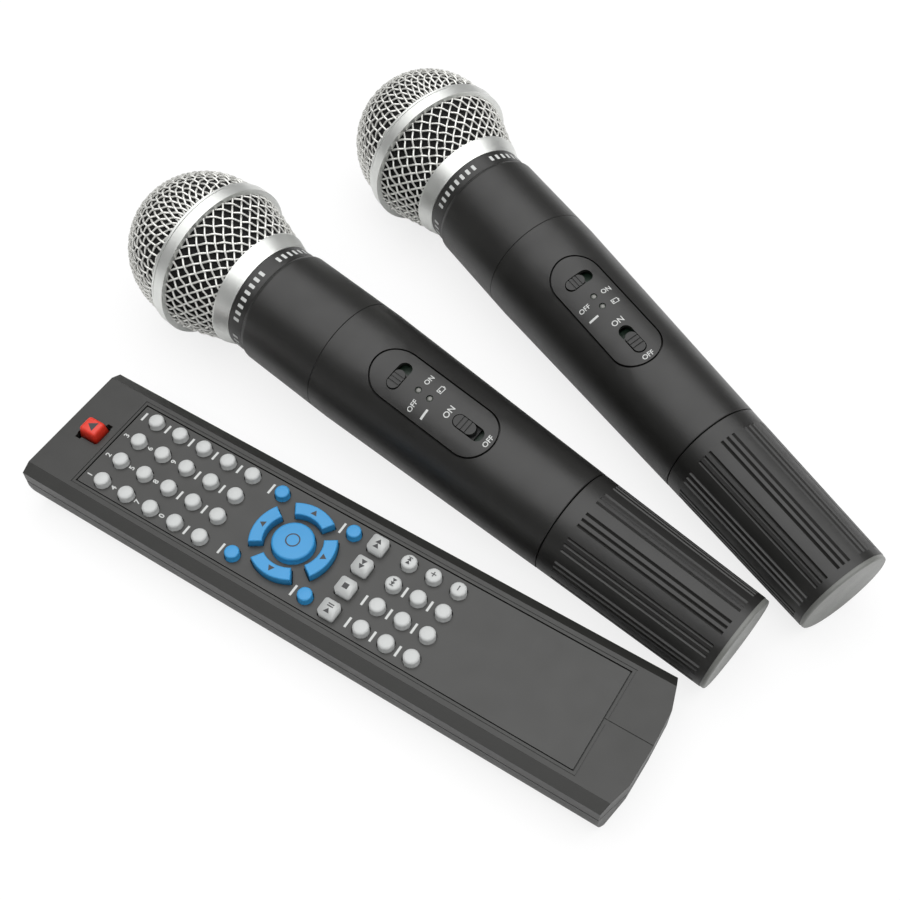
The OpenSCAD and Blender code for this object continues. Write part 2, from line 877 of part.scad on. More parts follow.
module foam_liner() {
    cone_r = foam_r - 0.15;
    low_r = collar_head_r - mesh_t - body_gap;
    color("#1c1d1d") rotate([0, 90, 0]) rotate_extrude($fn = 96) difference() {
        union() {
            ball_outline(foam_r, band_at);
            polygon([
                [0, band_at - seat_gap], [cone_r, band_at - seat_gap], [cone_r - 0.4, band_to],
                [low_r, collar_at - 0.3], [0, collar_at - 0.3]
            ]);
        }
        ball_outline(foam_r - foam_t, band_at);
        polygon([
            [0, band_at - seat_gap], [cone_r - foam_t, band_at - seat_gap],
            [cone_r - 0.4 - foam_t, band_to], [neck_r + neck_gap, collar_at], [0, collar_at]
        ]);
    }
}

module capsule() {
    ring = neck_r - neck_wall - seat_gap;
    seat = shoulder_at;
    color("#9a9c9e") {
        turned([[0, -6], [capsule_r - 1, -6], [capsule_r, -5], [capsule_r, 12], [0, 12]]);
        turned([[0, 12], [capsule_r - 2, 12], [capsule_r - 2, seat - 4], [0, seat - 4]]);
        turned([[0, seat - 4], [ring, seat - 4], [ring, seat], [0, seat]]);
    }
}

// Microphone: neck, ring and head sleeve, one moulded piece
module head_sleeve() {
    bore = sleeve_r - sleeve_wall;
    neck_bore = neck_r - neck_wall;
    color(mic_black) turned([
        [neck_bore, shoulder_at - 3.4], [neck_r, shoulder_at - 3.4], [neck_r, ring_from],
        [ring_r, ring_from], [ring_r, ring_to], [sleeve_r - 0.1, ring_to + 1.1], [sleeve_r, ring_to + 1.6],
        [sleeve_r, sleeve_end - seam_edge], [sleeve_r - seam_edge, sleeve_end], [bore, sleeve_end],
        [bore, ring_from + 2.2], [neck_bore - 1.5, ring_from + 2.2], [neck_bore - 1.5, shoulder_at],
        [neck_bore, shoulder_at]
    ]);
}

// Microphone: outside of the barrel, drawn in by inset
module barrel_outside(inset) {
    turned([
        [0, sleeve_end], [sleeve_r - inset, sleeve_end], [sleeve_r - inset, taper_from],
        [barrel_tail_r - inset, barrel_end], [0, barrel_end]
    ]);
}

// Microphone: oval of the switch panel as an upright prism, grown by grow
module panel_prism(grow) {
    l = panel_l + 2 * grow;
    w = panel_w + 2 * grow;
    translate([panel_at, 0, 0]) linear_extrude(sleeve_r * 1.5) {
        square([l - w, w], center = true);
        for (s = [-1, 1]) translate([s * (l - w) / 2, 0]) circle(d = w);
    }
}

module barrel() {
    spigot_to = barrel_end + 5.7;
    spigot_bore = spigot_r - 0.85;
    bulkhead = tray_from;
    sleeve_bore = sleeve_r - sleeve_wall - seat_gap;
    color(mic_black) difference() {
        union() {
            difference() {
                turned([
                    [0, sleeve_end - 6], [sleeve_bore, sleeve_end - 6], [sleeve_bore, sleeve_end],
                    [sleeve_r - seam_edge, sleeve_end], [sleeve_r, sleeve_end + seam_edge],
                    [sleeve_r, taper_from], [barrel_tail_r, barrel_end - seam_edge],
                    [barrel_tail_r - seam_edge, barrel_end], [spigot_r, barrel_end],
                    [spigot_r, spigot_to], [0, spigot_to]
                ]);
                turned([
                    [0, sleeve_end - 6 - past], [sleeve_r - barrel_wall - 1.3, sleeve_end - 6 - past],
                    [sleeve_r - barrel_wall - 1.3, sleeve_end], [sleeve_r - barrel_wall, sleeve_end + 1.3],
                    [sleeve_r - barrel_wall, taper_from], [barrel_tail_r - barrel_wall, barrel_end - 2],
                    [spigot_bore, barrel_end], [spigot_bore, spigot_to + past], [0, spigot_to + past]
                ]);
            }
            turned([
                [11, bulkhead - 2], [barrel_r(bulkhead) - 1, bulkhead - 2],
                [barrel_r(bulkhead) - 1, bulkhead], [11, bulkhead]
            ]);
            intersection() {
                barrel_outside(barrel_wall / 2);
                for (s = [-1, 1]) translate([mic_board_from, s > 0 ? mic_board_w / 2 - 1 : -sleeve_r, mic_board_z - 1.6])
                    cube([bulkhead - mic_board_from, sleeve_r - mic_board_w / 2 + 1, 1.6]);
            }
        }
        difference() {
            panel_prism(panel_gap);
            barrel_outside(panel_t + seat_gap);
        }
        panel_prism(-1.4);
    }
}

// Microphone: slot of a switch as an upright prism, long side along X, grown by grow
module slot_prism(l, w, grow) {
    linear_extrude(sleeve_r * 1.5) rounded(l + 2 * grow, w + 2 * grow, w / 2 + grow - 0.01);
}

module switch_panel() {
    color(mic_black) difference() {
        intersection() {
            difference() {
                barrel_outside(0);
                barrel_outside(panel_t);
            }
            panel_prism(0);
        }
        translate([power_at, 0, 0]) rotate(90)
            slot_prism(power_knob_l + switch_travel + 2 * knob_gap, slot_w, 0);
        translate([mute_at, 0, 0]) slot_prism(mute_knob_l + switch_travel + 2 * knob_gap, slot_w, 0);
        for (t = led_at) translate([t, 0, 0]) cylinder(r = led_r + 0.2, h = sleeve_r * 1.5, $fn = 32);
    }
}

// Microphone: knob of a switch along X at the origin, on a wide foot under the panel
module knob(l, r) {
    w = slot_w - 2 * knob_gap;
    foot_top = r - panel_t - 1.1;
    difference() {
        union() {
            translate([0, 0, foot_top - 0.2]) linear_extrude(r + 0.35 - foot_top + 0.2)
                rounded(l, w, w / 2 - 0.01);
            translate([0, 0, foot_top - 1]) linear_extrude(1) square([l + 0.8, w + 1.2], center = true);
        }
        for (i = [-1:1]) translate([i * l / 5 - 0.25, -w, r]) cube([0.5, 2 * w, past]);
    }
}

module power_switch() {
    color("#2b2c2b") translate([power_at, -switch_travel / 2, 0]) rotate(90)
        knob(power_knob_l, barrel_r(power_at) - 0.3);
}

// The mute switch stands towards the ball for side -1 and towards the tail for side 1
module mute_switch(side) {
    color("#2b2c2b") translate([mute_at + side * switch_travel / 2, 0, 0])
        knob(mute_knob_l, barrel_r(mute_at) - 0.1);
}

// Microphone: circuit board with its switch bodies and lamps, and the battery tray behind it
module mic_circuit_board() {
    power_under = barrel_r(power_at) - 0.3 - panel_t - 2.1 - body_gap;
    mute_under = barrel_r(mute_at) - 0.1 - panel_t - 2.1 - body_gap;
    mic_board_mid = mic_board_z + board_t / 2;
    color("#2f6b45") {
        translate([mic_board_from, -mic_board_w / 2, mic_board_z])
            cube([tray_from - 2.1 - mic_board_from, mic_board_w, board_t]);
        translate([power_at - 3, -6, mic_board_mid]) cube([6, 12, power_under - mic_board_mid]);
        translate([mute_at - 6, -3, mic_board_mid]) cube([12, 6, mute_under - mic_board_mid]);
        for (t = led_at) translate([t, 0, mic_board_mid])
            cylinder(r = led_r, h = barrel_r(t) - 0.25 - mic_board_mid, $fn = 32);
        translate([mic_board_from + 5, -7, mic_board_z - 2]) cube([14, 14, 2 + board_t / 2]);
    }
    color("#26282a") {
        floor_z = -aa_d / 2 - body_gap;
        translate([tray_from, 0, 0]) rotate([0, 90, 0]) cylinder(r = 14.2, h = tray_wall);
        translate([tray_to - tray_wall, 0, 0]) rotate([0, 90, 0]) cylinder(r = 13.9, h = tray_wall);
        translate([tray_from, -9, floor_z - 1.6]) cube([tray_to - tray_from, 18, 1.6]);
    }
}

module mic_batteries() {
    pip = 1.2;
    gap = 1.2;
    color("#7c8086") for (side = [-1, 1]) translate([0, side * cell_y, 0]) rotate([0, 90, 0]) {
        translate([0, 0, side > 0 ? cell_from : cell_from + pip]) cylinder(d = aa_d, h = aa_l - pip);
        translate([0, 0, side > 0 ? cell_to - pip : cell_from]) cylinder(r = 2.6, h = pip);
        translate([0, 0, side > 0 ? cell_from - gap : cell_to]) cylinder(r = 4, h = gap);
        translate([0, 0, side > 0 ? cell_to : cell_from - gap]) cylinder(r = 4, h = gap);
    }
}

// Microphone: groups of three grooves run along the grip to its tail
module grip_grooves(turn) {
    from = grip_from + 5.6;
    to = disc_from - 2.4;
    slope = atan((grip_r(from) - grip_r(to)) / (to - from));
    side = groove_w / sqrt(2);
    for (g = [0:groove_groups - 1], k = [-1:1])
        rotate([g * 360 / groove_groups + k * groove_step + turn, 0, 0])
            translate([from, 0, grip_r(from)]) rotate([0, slope, 0]) rotate([45, 0, 0])
                translate([0, -side / 2, -side / 2]) cube([(to - from) / cos(slope), side, side]);
}

module battery_grip(turn) {
    bore = spigot_r + body_gap;
    bore_to = barrel_end + 6.2;
    color(mic_black) difference() {
        turned([
            [bore, grip_from], [grip_r(grip_from) - seam_edge, grip_from],
            [grip_r(grip_from), grip_from + seam_edge], [tail_r, disc_from], [6.05, disc_from],
            [6.05, disc_from - 1.2], [0, disc_from - 1.2], [0, grip_hollow_to],
            [tail_r - grip_tail_wall, grip_hollow_to],
            [grip_r(tray_to) - grip_wall, tray_to + 0.6], [bore, bore_to]
        ]);
        grip_grooves(turn);
    }
}

module end_disc() {
    r = tail_r - 0.15;
    color(disc_grey) turned([
        [0, disc_from - 1.15], [6, disc_from - 1.15], [6, disc_from], [r, disc_from],
        [r, mic_l - 0.5], [r - 0.15, mic_l - 0.15], [r - 0.5, mic_l], [0, mic_l]
    ]);
}

module mic_a_grille_mesh() { on_mic_a() grille_mesh(); }
module mic_a_grille_band() { on_mic_a() grille_band(); }
module mic_a_grille_collar() { on_mic_a() grille_collar(); }
module mic_a_foam_liner() { on_mic_a() foam_liner(); }
module mic_a_capsule() { on_mic_a() capsule(); }
module mic_a_head_sleeve() { on_mic_a() head_sleeve(); }
module mic_a_barrel() { on_mic_a() barrel(); }
module mic_a_switch_panel() { on_mic_a() switch_panel(); }
module mic_a_power_switch() { on_mic_a() power_switch(); }
module mic_a_mute_switch() { on_mic_a() mute_switch(-1); }
module mic_a_circuit_board() { on_mic_a() mic_circuit_board(); }
module mic_a_batteries() { on_mic_a() mic_batteries(); }
module mic_a_battery_grip() { on_mic_a() battery_grip(mic_a_groove_turn); }
module mic_a_end_disc() { on_mic_a() end_disc(); }

module mic_b_grille_mesh() { on_mic_b() grille_mesh(); }
module mic_b_grille_band() { on_mic_b() grille_band(); }
module mic_b_grille_collar() { on_mic_b() grille_collar(); }
module mic_b_foam_liner() { on_mic_b() foam_liner(); }
module mic_b_capsule() { on_mic_b() capsule(); }
module mic_b_head_sleeve() { on_mic_b() head_sleeve(); }
module mic_b_barrel() { on_mic_b() barrel(); }
module mic_b_switch_panel() { on_mic_b() switch_panel(); }
module mic_b_power_switch() { on_mic_b() power_switch(); }
module mic_b_mute_switch() { on_mic_b() mute_switch(1); }
module mic_b_circuit_board() { on_mic_b() mic_circuit_board(); }
module mic_b_batteries() { on_mic_b() mic_batteries(); }
module mic_b_battery_grip() { on_mic_b() battery_grip(mic_b_groove_turn); }
module mic_b_end_disc() { on_mic_b() end_disc(); }

remote_top_shell();
remote_bottom_shell();
remote_faceplate();
remote_battery_door();
remote_circuit_board();
remote_keypad_mat();
remote_batteries();
remote_battery_contacts();
remote_ir_lens();
remote_screws();
red_key();
enter_key();
up_arrow_key();
down_arrow_key();
left_arrow_key();
right_arrow_key();
eject_key();
setup_key();
menu_key();
title_key();
play_key();
stop_key();
reverse_key();
forward_key();
number_keys_row_1();
number_keys_row_2();
number_keys_row_3();
number_keys_row_4();
number_keys_row_5();
function_keys_row_1();
function_keys_row_2();
function_keys_row_3();
mic_a_grille_mesh();
mic_a_grille_band();
mic_a_grille_collar();
mic_a_foam_liner();
mic_a_capsule();
mic_a_head_sleeve();
mic_a_barrel();
mic_a_switch_panel();
mic_a_power_switch();
mic_a_mute_switch();
mic_a_circuit_board();
mic_a_batteries();
mic_a_battery_grip();
mic_a_end_disc();
mic_b_grille_mesh();
mic_b_grille_band();
mic_b_grille_collar();
mic_b_foam_liner();
mic_b_capsule();
mic_b_head_sleeve();
mic_b_barrel();
mic_b_switch_panel();
mic_b_power_switch();
mic_b_mute_switch();
mic_b_circuit_board();
mic_b_batteries();
mic_b_battery_grip();
mic_b_end_disc();
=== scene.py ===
"""Looks of a singing set: two wireless hand microphones and an infrared remote control.

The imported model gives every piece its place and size. This script dresses the plain solids in
their finishes, and replaces the ones whose real form is finer: the woven wire of the ball
grilles, the moulded keys, the printed marks and the small lamps.
"""
import json
import logging
import math
from dataclasses import dataclass, field
from enum import Enum
from typing import Callable, Sequence

import bmesh
import bpy
from mathutils import Matrix, Vector


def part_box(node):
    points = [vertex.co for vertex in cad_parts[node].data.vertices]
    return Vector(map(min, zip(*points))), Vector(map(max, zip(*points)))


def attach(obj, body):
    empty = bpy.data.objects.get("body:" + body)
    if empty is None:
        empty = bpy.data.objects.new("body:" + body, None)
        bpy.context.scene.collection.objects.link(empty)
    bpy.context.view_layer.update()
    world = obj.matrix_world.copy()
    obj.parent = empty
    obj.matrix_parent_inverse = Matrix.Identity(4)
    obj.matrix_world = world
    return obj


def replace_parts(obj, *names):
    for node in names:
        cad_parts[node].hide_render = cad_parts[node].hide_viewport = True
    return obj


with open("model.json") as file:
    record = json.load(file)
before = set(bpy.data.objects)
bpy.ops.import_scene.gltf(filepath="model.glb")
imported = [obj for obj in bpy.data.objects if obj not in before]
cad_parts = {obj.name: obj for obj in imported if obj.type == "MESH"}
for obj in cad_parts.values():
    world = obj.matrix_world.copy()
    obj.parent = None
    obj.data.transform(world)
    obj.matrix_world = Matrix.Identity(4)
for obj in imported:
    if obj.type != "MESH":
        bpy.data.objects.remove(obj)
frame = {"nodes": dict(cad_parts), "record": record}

LOG = logging.getLogger("singing_set")
MM = 0.001
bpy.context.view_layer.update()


# ---------------------------------------------------------------- shader groups


class Socket(Enum):
    """Kinds of socket on a shader group."""

    VALUE = "NodeSocketFloat"
    COLOUR = "NodeSocketColor"
    VECTOR = "NodeSocketVector"


def new_group(name: str, inputs: Sequence[tuple[str, Socket, float]],
              outputs: Sequence[tuple[str, Socket]]) -> tuple[bpy.types.NodeTree, bpy.types.Node, bpy.types.Node]:
    """Makes an empty shader group.

    Args:
        name: Name of the group.
        inputs: Name, kind and default value of each input.
        outputs: Name and kind of each output.

    Returns:
        The group with its input and output nodes.
    """
    tree = bpy.data.node_groups.new(name, "ShaderNodeTree")
    for label, kind, default in inputs:
        made = tree.interface.new_socket(name=label, in_out="INPUT", socket_type=kind.value)
        if kind is Socket.VALUE:
            made.default_value = default
    for label, kind in outputs:
        tree.interface.new_socket(name=label, in_out="OUTPUT", socket_type=kind.value)
    return tree, tree.nodes.new("NodeGroupInput"), tree.nodes.new("NodeGroupOutput")


def math_node(tree: bpy.types.NodeTree, operation: str, first: object, second: object) -> bpy.types.NodeSocket:
    """Adds a Math node.

    Args:
        tree: Tree to add it to.
        operation: Name of the operation.
        first: Socket or number for the first input.
        second: Socket or number for the second input.

    Returns:
        The node's output socket.
    """
    node = tree.nodes.new("ShaderNodeMath")
    node.operation = operation
    for socket, value in zip(node.inputs, (first, second)):
        if isinstance(value, bpy.types.NodeSocket):
            tree.links.new(value, socket)
        else:
            socket.default_value = value
    return node.outputs[0]


def noise(tree: bpy.types.NodeTree, vector: bpy.types.NodeSocket, scale: object, detail: float,
          rough: float = 0.5) -> bpy.types.NodeSocket:
    """Adds a Noise Texture.

    Args:
        tree: Tree to add it to.
        vector: Coordinates.
        scale: Scale, a number or a socket.
        detail: Number of octaves.
        rough: Roughness of the octaves.

    Returns:
        The noise value's socket.
    """
    node = tree.nodes.new("ShaderNodeTexNoise")
    node.inputs["Detail"].default_value = detail
    node.inputs["Roughness"].default_value = rough
    tree.links.new(vector, node.inputs["Vector"])
    if isinstance(scale, bpy.types.NodeSocket):
        tree.links.new(scale, node.inputs["Scale"])
    else:
        node.inputs["Scale"].default_value = scale
    return node.outputs["Fac"]


def build_mould_grain() -> bpy.types.NodeTree:
    """Builds the spark-eroded grain of moulded plastic: a fine height and a slow drift of tone.

    Returns:
        The group, with Height, Tone and Sheen outputs round 0.5.
    """
    tree, enter, leave = new_group(
        "mould_grain", [("Grain per m", Socket.VALUE, 6000.0), ("Drift per m", Socket.VALUE, 30.0)],
        [("Height", Socket.VALUE), ("Tone", Socket.VALUE), ("Sheen", Socket.VALUE)])
    place = tree.nodes.new("ShaderNodeTexCoord").outputs["Object"]
    fine = noise(tree, place, enter.outputs["Grain per m"], 3.0, 0.65)
    drift = noise(tree, place, enter.outputs["Drift per m"], 4.0, 0.55)
    touch = noise(tree, place, math_node(tree, "MULTIPLY", enter.outputs["Drift per m"], 4.3), 2.0, 0.5)
    tree.links.new(fine, leave.inputs["Height"])
    tree.links.new(drift, leave.inputs["Tone"])
    tree.links.new(math_node(tree, "MULTIPLY", math_node(tree, "ADD", touch, fine), 0.5),
                   leave.inputs["Sheen"])
    return tree


def build_turned_lines() -> bpy.types.NodeTree:
    """Builds the fine lines that turning and brushing leave in metal, stretched along one way.

    Returns:
        The group, with Lines and Cloud outputs round 0.5.
    """
    tree, enter, leave = new_group(
        "turned_lines", [("Across per m", Socket.VALUE, 3000.0), ("Along per m", Socket.VALUE, 60.0)],
        [("Lines", Socket.VALUE), ("Cloud", Socket.VALUE)])
    place = tree.nodes.new("ShaderNodeTexCoord").outputs["Object"]
    stretch = tree.nodes.new("ShaderNodeCombineXYZ")
    for axis, name in zip("XYZ", ("Across per m", "Along per m", "Along per m")):
        tree.links.new(enter.outputs[name], stretch.inputs[axis])
    scaled = tree.nodes.new("ShaderNodeVectorMath")
    scaled.operation = "MULTIPLY"
    tree.links.new(place, scaled.inputs[0])
    tree.links.new(stretch.outputs[0], scaled.inputs[1])
    tree.links.new(noise(tree, scaled.outputs[0], 1.0, 3.0, 0.6), leave.inputs["Lines"])
    tree.links.new(noise(tree, place, 90.0, 3.0, 0.5), leave.inputs["Cloud"])
    return tree


def build_open_foam() -> bpy.types.NodeTree:
    """Builds the open cells of filter foam.

    Returns:
        The group, with Height and Tone outputs.
    """
    tree, enter, leave = new_group(
        "open_foam", [("Cells per m", Socket.VALUE, 1400.0)],
        [("Height", Socket.VALUE), ("Tone", Socket.VALUE)])
    place = tree.nodes.new("ShaderNodeTexCoord").outputs["Object"]
    cells = tree.nodes.new("ShaderNodeTexVoronoi")
    tree.links.new(place, cells.inputs["Vector"])
    tree.links.new(enter.outputs["Cells per m"], cells.inputs["Scale"])
    tree.links.new(cells.outputs["Distance"], leave.inputs["Height"])
    tree.links.new(noise(tree, place, 220.0, 3.0, 0.6), leave.inputs["Tone"])
    return tree


class Groups:
    """The shader groups that several finishes share, each built once."""

    _built: dict[str, bpy.types.NodeTree] = {}
    _makers: dict[str, Callable[[], bpy.types.NodeTree]] = {
        "grain": build_mould_grain, "lines": build_turned_lines, "foam": build_open_foam}

    @classmethod
    def place(cls, tree: bpy.types.NodeTree, key: str, **values: float) -> bpy.types.Node:
        """Places a shared group in a material.

        Args:
            tree: The material's tree.
            key: Which group.
            **values: Input values, with spaces in their names written as underscores.

        Returns:
            The group node.
        """
        if key not in cls._built:
            cls._built[key] = cls._makers[key]()
        node = tree.nodes.new("ShaderNodeGroup")
        node.node_tree = cls._built[key]
        for label, value in values.items():
            node.inputs[label.replace("_", " ")].default_value = value
        return node


# ---------------------------------------------------------------- finishes


def spread(tree: bpy.types.NodeTree, mask: bpy.types.NodeSocket, low: float, high: float) -> bpy.types.NodeSocket:
    """Maps the middle of a noise mask to a range.

    Args:
        tree: Tree to add the node to.
        mask: Value round 0.5.
        low: Result where the mask is 0.3.
        high: Result where the mask is 0.7.

    Returns:
        The mapped value's socket.
    """
    node = tree.nodes.new("ShaderNodeMapRange")
    node.inputs["From Min"].default_value = 0.3
    node.inputs["From Max"].default_value = 0.7
    node.inputs["To Min"].default_value = low
    node.inputs["To Max"].default_value = high
    tree.links.new(mask, node.inputs["Value"])
    return node.outputs["Result"]


def blend_colour(tree: bpy.types.NodeTree, mask: bpy.types.NodeSocket, first: Sequence[float],
                 second: Sequence[float]) -> bpy.types.NodeSocket:
    """Mixes two colours by a mask.

    Args:
        tree: Tree to add the node to.
        mask: Mixing value.
        first: Linear colour where the mask is 0.
        second: Linear colour where the mask is 1.

    Returns:
        The mixed colour's socket.
    """
    node = tree.nodes.new("ShaderNodeMix")
    node.data_type = "RGBA"
    tree.links.new(mask, node.inputs["Factor"])
    node.inputs[6].default_value = (*first, 1.0)
    node.inputs[7].default_value = (*second, 1.0)
    return node.outputs[2]


def bump(tree: bpy.types.NodeTree, height: bpy.types.NodeSocket, depth: float) -> bpy.types.NodeSocket:
    """Turns a height into a normal.

    Args:
        tree: Tree to add the node to.
        height: Height value.
        depth: Depth of the relief in metres.

    Returns:
        The normal's socket.
    """
    node = tree.nodes.new("ShaderNodeBump")
    node.inputs["Strength"].default_value = 1.0
    node.inputs["Distance"].default_value = depth
    tree.links.new(height, node.inputs["Height"])
    return node.outputs["Normal"]


def fresh_material(name: str) -> tuple[bpy.types.Material, bpy.types.NodeTree, bpy.types.Node]:
    """Makes a material with one Principled shader.

    Args:
        name: The material's name.

    Returns:
        The material, its tree and its shader node.
    """
    made = bpy.data.materials.new(name)
    made.use_nodes = True
    return made, made.node_tree, made.node_tree.nodes["Principled BSDF"]


def shade(colour: Sequence[float], factor: float) -> tuple[float, ...]:
    """Scales a linear colour, kept within 0 to 1."""
    return tuple(min(1.0, part * factor) for part in colour)


@dataclass(frozen=True)
class MouldedPlastic:
    """Moulded plastic with a fine grain, a slow drift of tone and a sheen that varies a little."""

    name: str
    colour: tuple[float, float, float]
    roughness: float = 0.42
    grain_per_m: float = 6000.0
    grain_depth: float = 0.00002
    drift: float = 0.07
    sheen_span: float = 0.06
    specular: float = 0.5
    coat: float = 0.0

    def build(self) -> bpy.types.Material:
        """Builds the material."""
        made, tree, shader = fresh_material(self.name)
        grain = Groups.place(tree, "grain", Grain_per_m=self.grain_per_m)
        tree.links.new(
            blend_colour(tree, spread(tree, grain.outputs["Tone"], 0.0, 1.0),
                         shade(self.colour, 1 - self.drift), shade(self.colour, 1 + self.drift)),
            shader.inputs["Base Color"])
        tree.links.new(spread(tree, grain.outputs["Sheen"], self.roughness - self.sheen_span,
                              self.roughness + self.sheen_span), shader.inputs["Roughness"])
        tree.links.new(bump(tree, grain.outputs["Height"], self.grain_depth), shader.inputs["Normal"])
        shader.inputs["Specular IOR Level"].default_value = self.specular
        shader.inputs["Coat Weight"].default_value = self.coat
        shader.inputs["Coat Roughness"].default_value = 0.25
        return made


@dataclass(frozen=True)
class SatinMetal:
    """Metal, or metal paint, with fine turned lines."""

    name: str
    colour: tuple[float, float, float]
    roughness: float = 0.36
    metallic: float = 0.8
    line_depth: float = 0.000012

    def build(self) -> bpy.types.Material:
        """Builds the material."""
        made, tree, shader = fresh_material(self.name)
        lines = Groups.place(tree, "lines")
        tree.links.new(
            blend_colour(tree, spread(tree, lines.outputs["Cloud"], 0.0, 1.0), shade(self.colour, 0.94),
                         shade(self.colour, 1.05)), shader.inputs["Base Color"])
        tree.links.new(spread(tree, lines.outputs["Lines"], self.roughness - 0.06, self.roughness + 0.08),
                       shader.inputs["Roughness"])
        tree.links.new(bump(tree, lines.outputs["Lines"], self.line_depth), shader.inputs["Normal"])
        shader.inputs["Metallic"].default_value = self.metallic
        return made


@dataclass(frozen=True)
class FilterFoam:
    """Open-cell foam, dark and without gloss."""

    name: str
    colour: tuple[float, float, float]

    def build(self) -> bpy.types.Material:
        """Builds the material."""
        made, tree, shader = fresh_material(self.name)
        cells = Groups.place(tree, "foam")
        tree.links.new(
            blend_colour(tree, cells.outputs["Tone"], shade(self.colour, 0.6), shade(self.colour, 1.4)),
            shader.inputs["Base Color"])
        tree.links.new(bump(tree, cells.outputs["Height"], 0.0004), shader.inputs["Normal"])
        shader.inputs["Roughness"].default_value = 0.95
        shader.inputs["Specular IOR Level"].default_value = 0.2
        return made


@dataclass(frozen=True)
class PrintedInk:
    """Pad-printed ink, flat, with slightly uneven cover."""

    name: str
    colour: tuple[float, float, float]
    roughness: float = 0.55

    def build(self) -> bpy.types.Material:
        """Builds the material."""
        made, tree, shader = fresh_material(self.name)
        grain = Groups.place(tree, "grain", Grain_per_m=9000.0)
        tree.links.new(
            blend_colour(tree, grain.outputs["Height"], shade(self.colour, 0.86), shade(self.colour, 1.06)),
            shader.inputs["Base Color"])
        shader.inputs["Roughness"].default_value = self.roughness
        return made


@dataclass(frozen=True)
class TintedWindow:
    """Glossy tinted plastic that looks nearly black until light passes it."""

    name: str
    colour: tuple[float, float, float]
    roughness: float = 0.12

    def build(self) -> bpy.types.Material:
        """Builds the material."""
        made, tree, shader = fresh_material(self.name)
        grain = Groups.place(tree, "grain", Grain_per_m=900.0)
        tree.links.new(spread(tree, grain.outputs["Sheen"], self.roughness, self.roughness + 0.08),
                       shader.inputs["Roughness"])
        tree.links.new(
            blend_colour(tree, grain.outputs["Tone"], shade(self.colour, 0.8), shade(self.colour, 1.2)),
            shader.inputs["Base Color"])
        shader.inputs["Coat Weight"].default_value = 0.6
        shader.inputs["Coat Roughness"].default_value = 0.05
        return made


FINISHES = {
    "charcoal_shell": MouldedPlastic("charcoal_shell", (0.017, 0.017, 0.0155), 0.43),
    "faceplate": MouldedPlastic("faceplate", (0.021, 0.021, 0.0195), 0.40, grain_depth=0.000012),
    "white_key": MouldedPlastic("white_key", (0.44, 0.45, 0.445), 0.46, 2500.0, 0.00001, 0.02),
    "blue_key": MouldedPlastic("blue_key", (0.026, 0.228, 0.48), 0.44, 2500.0, 0.00001, 0.04),
    "red_key": MouldedPlastic("red_key", (0.58, 0.026, 0.0105), 0.42, 2500.0, 0.00001, 0.04),
    "keypad_rubber": MouldedPlastic("keypad_rubber", (0.27, 0.29, 0.30), 0.7),
    "circuit_board": MouldedPlastic("circuit_board", (0.006, 0.022, 0.011), 0.45),
    "battery_can": SatinMetal("battery_can", (0.20, 0.22, 0.24), 0.30),
    "contact_metal": SatinMetal("contact_metal", (0.68, 0.66, 0.58), 0.25, 1.0),
    "ir_window": TintedWindow("ir_window", (0.022, 0.006, 0.008)),
    "screw_steel": SatinMetal("screw_steel", (0.58, 0.60, 0.60), 0.28, 1.0),
    "grille_wire": SatinMetal("grille_wire", (0.74, 0.74, 0.71), 0.38, 0.6, 0.000004),
    "satin_silver": SatinMetal("satin_silver", (0.66, 0.67, 0.65), 0.40, 0.85),
    "foam": FilterFoam("foam", (0.012, 0.012, 0.012)),
    "capsule_metal": SatinMetal("capsule_metal", (0.32, 0.33, 0.34)),
    "mic_black": MouldedPlastic("mic_black", (0.0085, 0.0083, 0.0076), 0.40, 7000.0),
    "switch_black": MouldedPlastic("switch_black", (0.010, 0.010, 0.0095), 0.48, 7000.0),
    "end_disc_grey": MouldedPlastic("end_disc_grey", (0.13, 0.133, 0.124), 0.38, 5000.0),
    "white_print": PrintedInk("white_print", (0.50, 0.51, 0.50)),
    "dark_print": PrintedInk("dark_print", (0.03, 0.03, 0.032)),
    "lamp_lens": TintedWindow("lamp_lens", (0.12, 0.12, 0.11), 0.2),
}


class Wardrobe:
    """Builds each finish once and puts it on pieces."""

    _made: dict[str, bpy.types.Material] = {}

    @classmethod
    def get(cls, key: str) -> bpy.types.Material:
        """Gives the material of a finish.

        Args:
            key: Name of the finish.

        Returns:
            The material.
        """
        if key not in cls._made:
            cls._made[key] = FINISHES[key].build()
        return cls._made[key]

    @classmethod
    def dress(cls, piece: bpy.types.Object, key: str) -> None:
        """Puts a finish on every slot of a piece.

        Args:
            piece: The object.
            key: Name of the finish.
        """
        material = cls.get(key)
        if not piece.material_slots:
            piece.data.materials.append(material)
        for slot in piece.material_slots:
            slot.material = material


# ---------------------------------------------------------------- mesh tools


def finish_piece(name: str, mesh: bmesh.types.BMesh, place: Matrix, finish: str, body: str,
                 smooth: bool = True) -> bpy.types.Object:
    """Turns a bmesh into a finished piece of the set.

    Args:
        name: Name of the piece.
        mesh: Its shape in millimetres, in its own frame.
        place: Places its own frame in the set, in millimetres.
        finish: Name of its finish.
        body: Name of the body that it rides on.
        smooth: Whether its faces shade smoothly.

    Returns:
        The new object.
    """
    bmesh.ops.transform(mesh, matrix=Matrix.Scale(MM, 4) @ place, verts=mesh.verts)
    for face in mesh.faces:
        face.smooth = smooth
    data = bpy.data.meshes.new(name)
    mesh.to_mesh(data)
    mesh.free()
    made = bpy.data.objects.new(name, data)
    bpy.context.scene.collection.objects.link(made)
    Wardrobe.dress(made, finish)
    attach(made, body)
    LOG.info("%s: %d faces on %s", name, len(data.polygons), body)
    return made


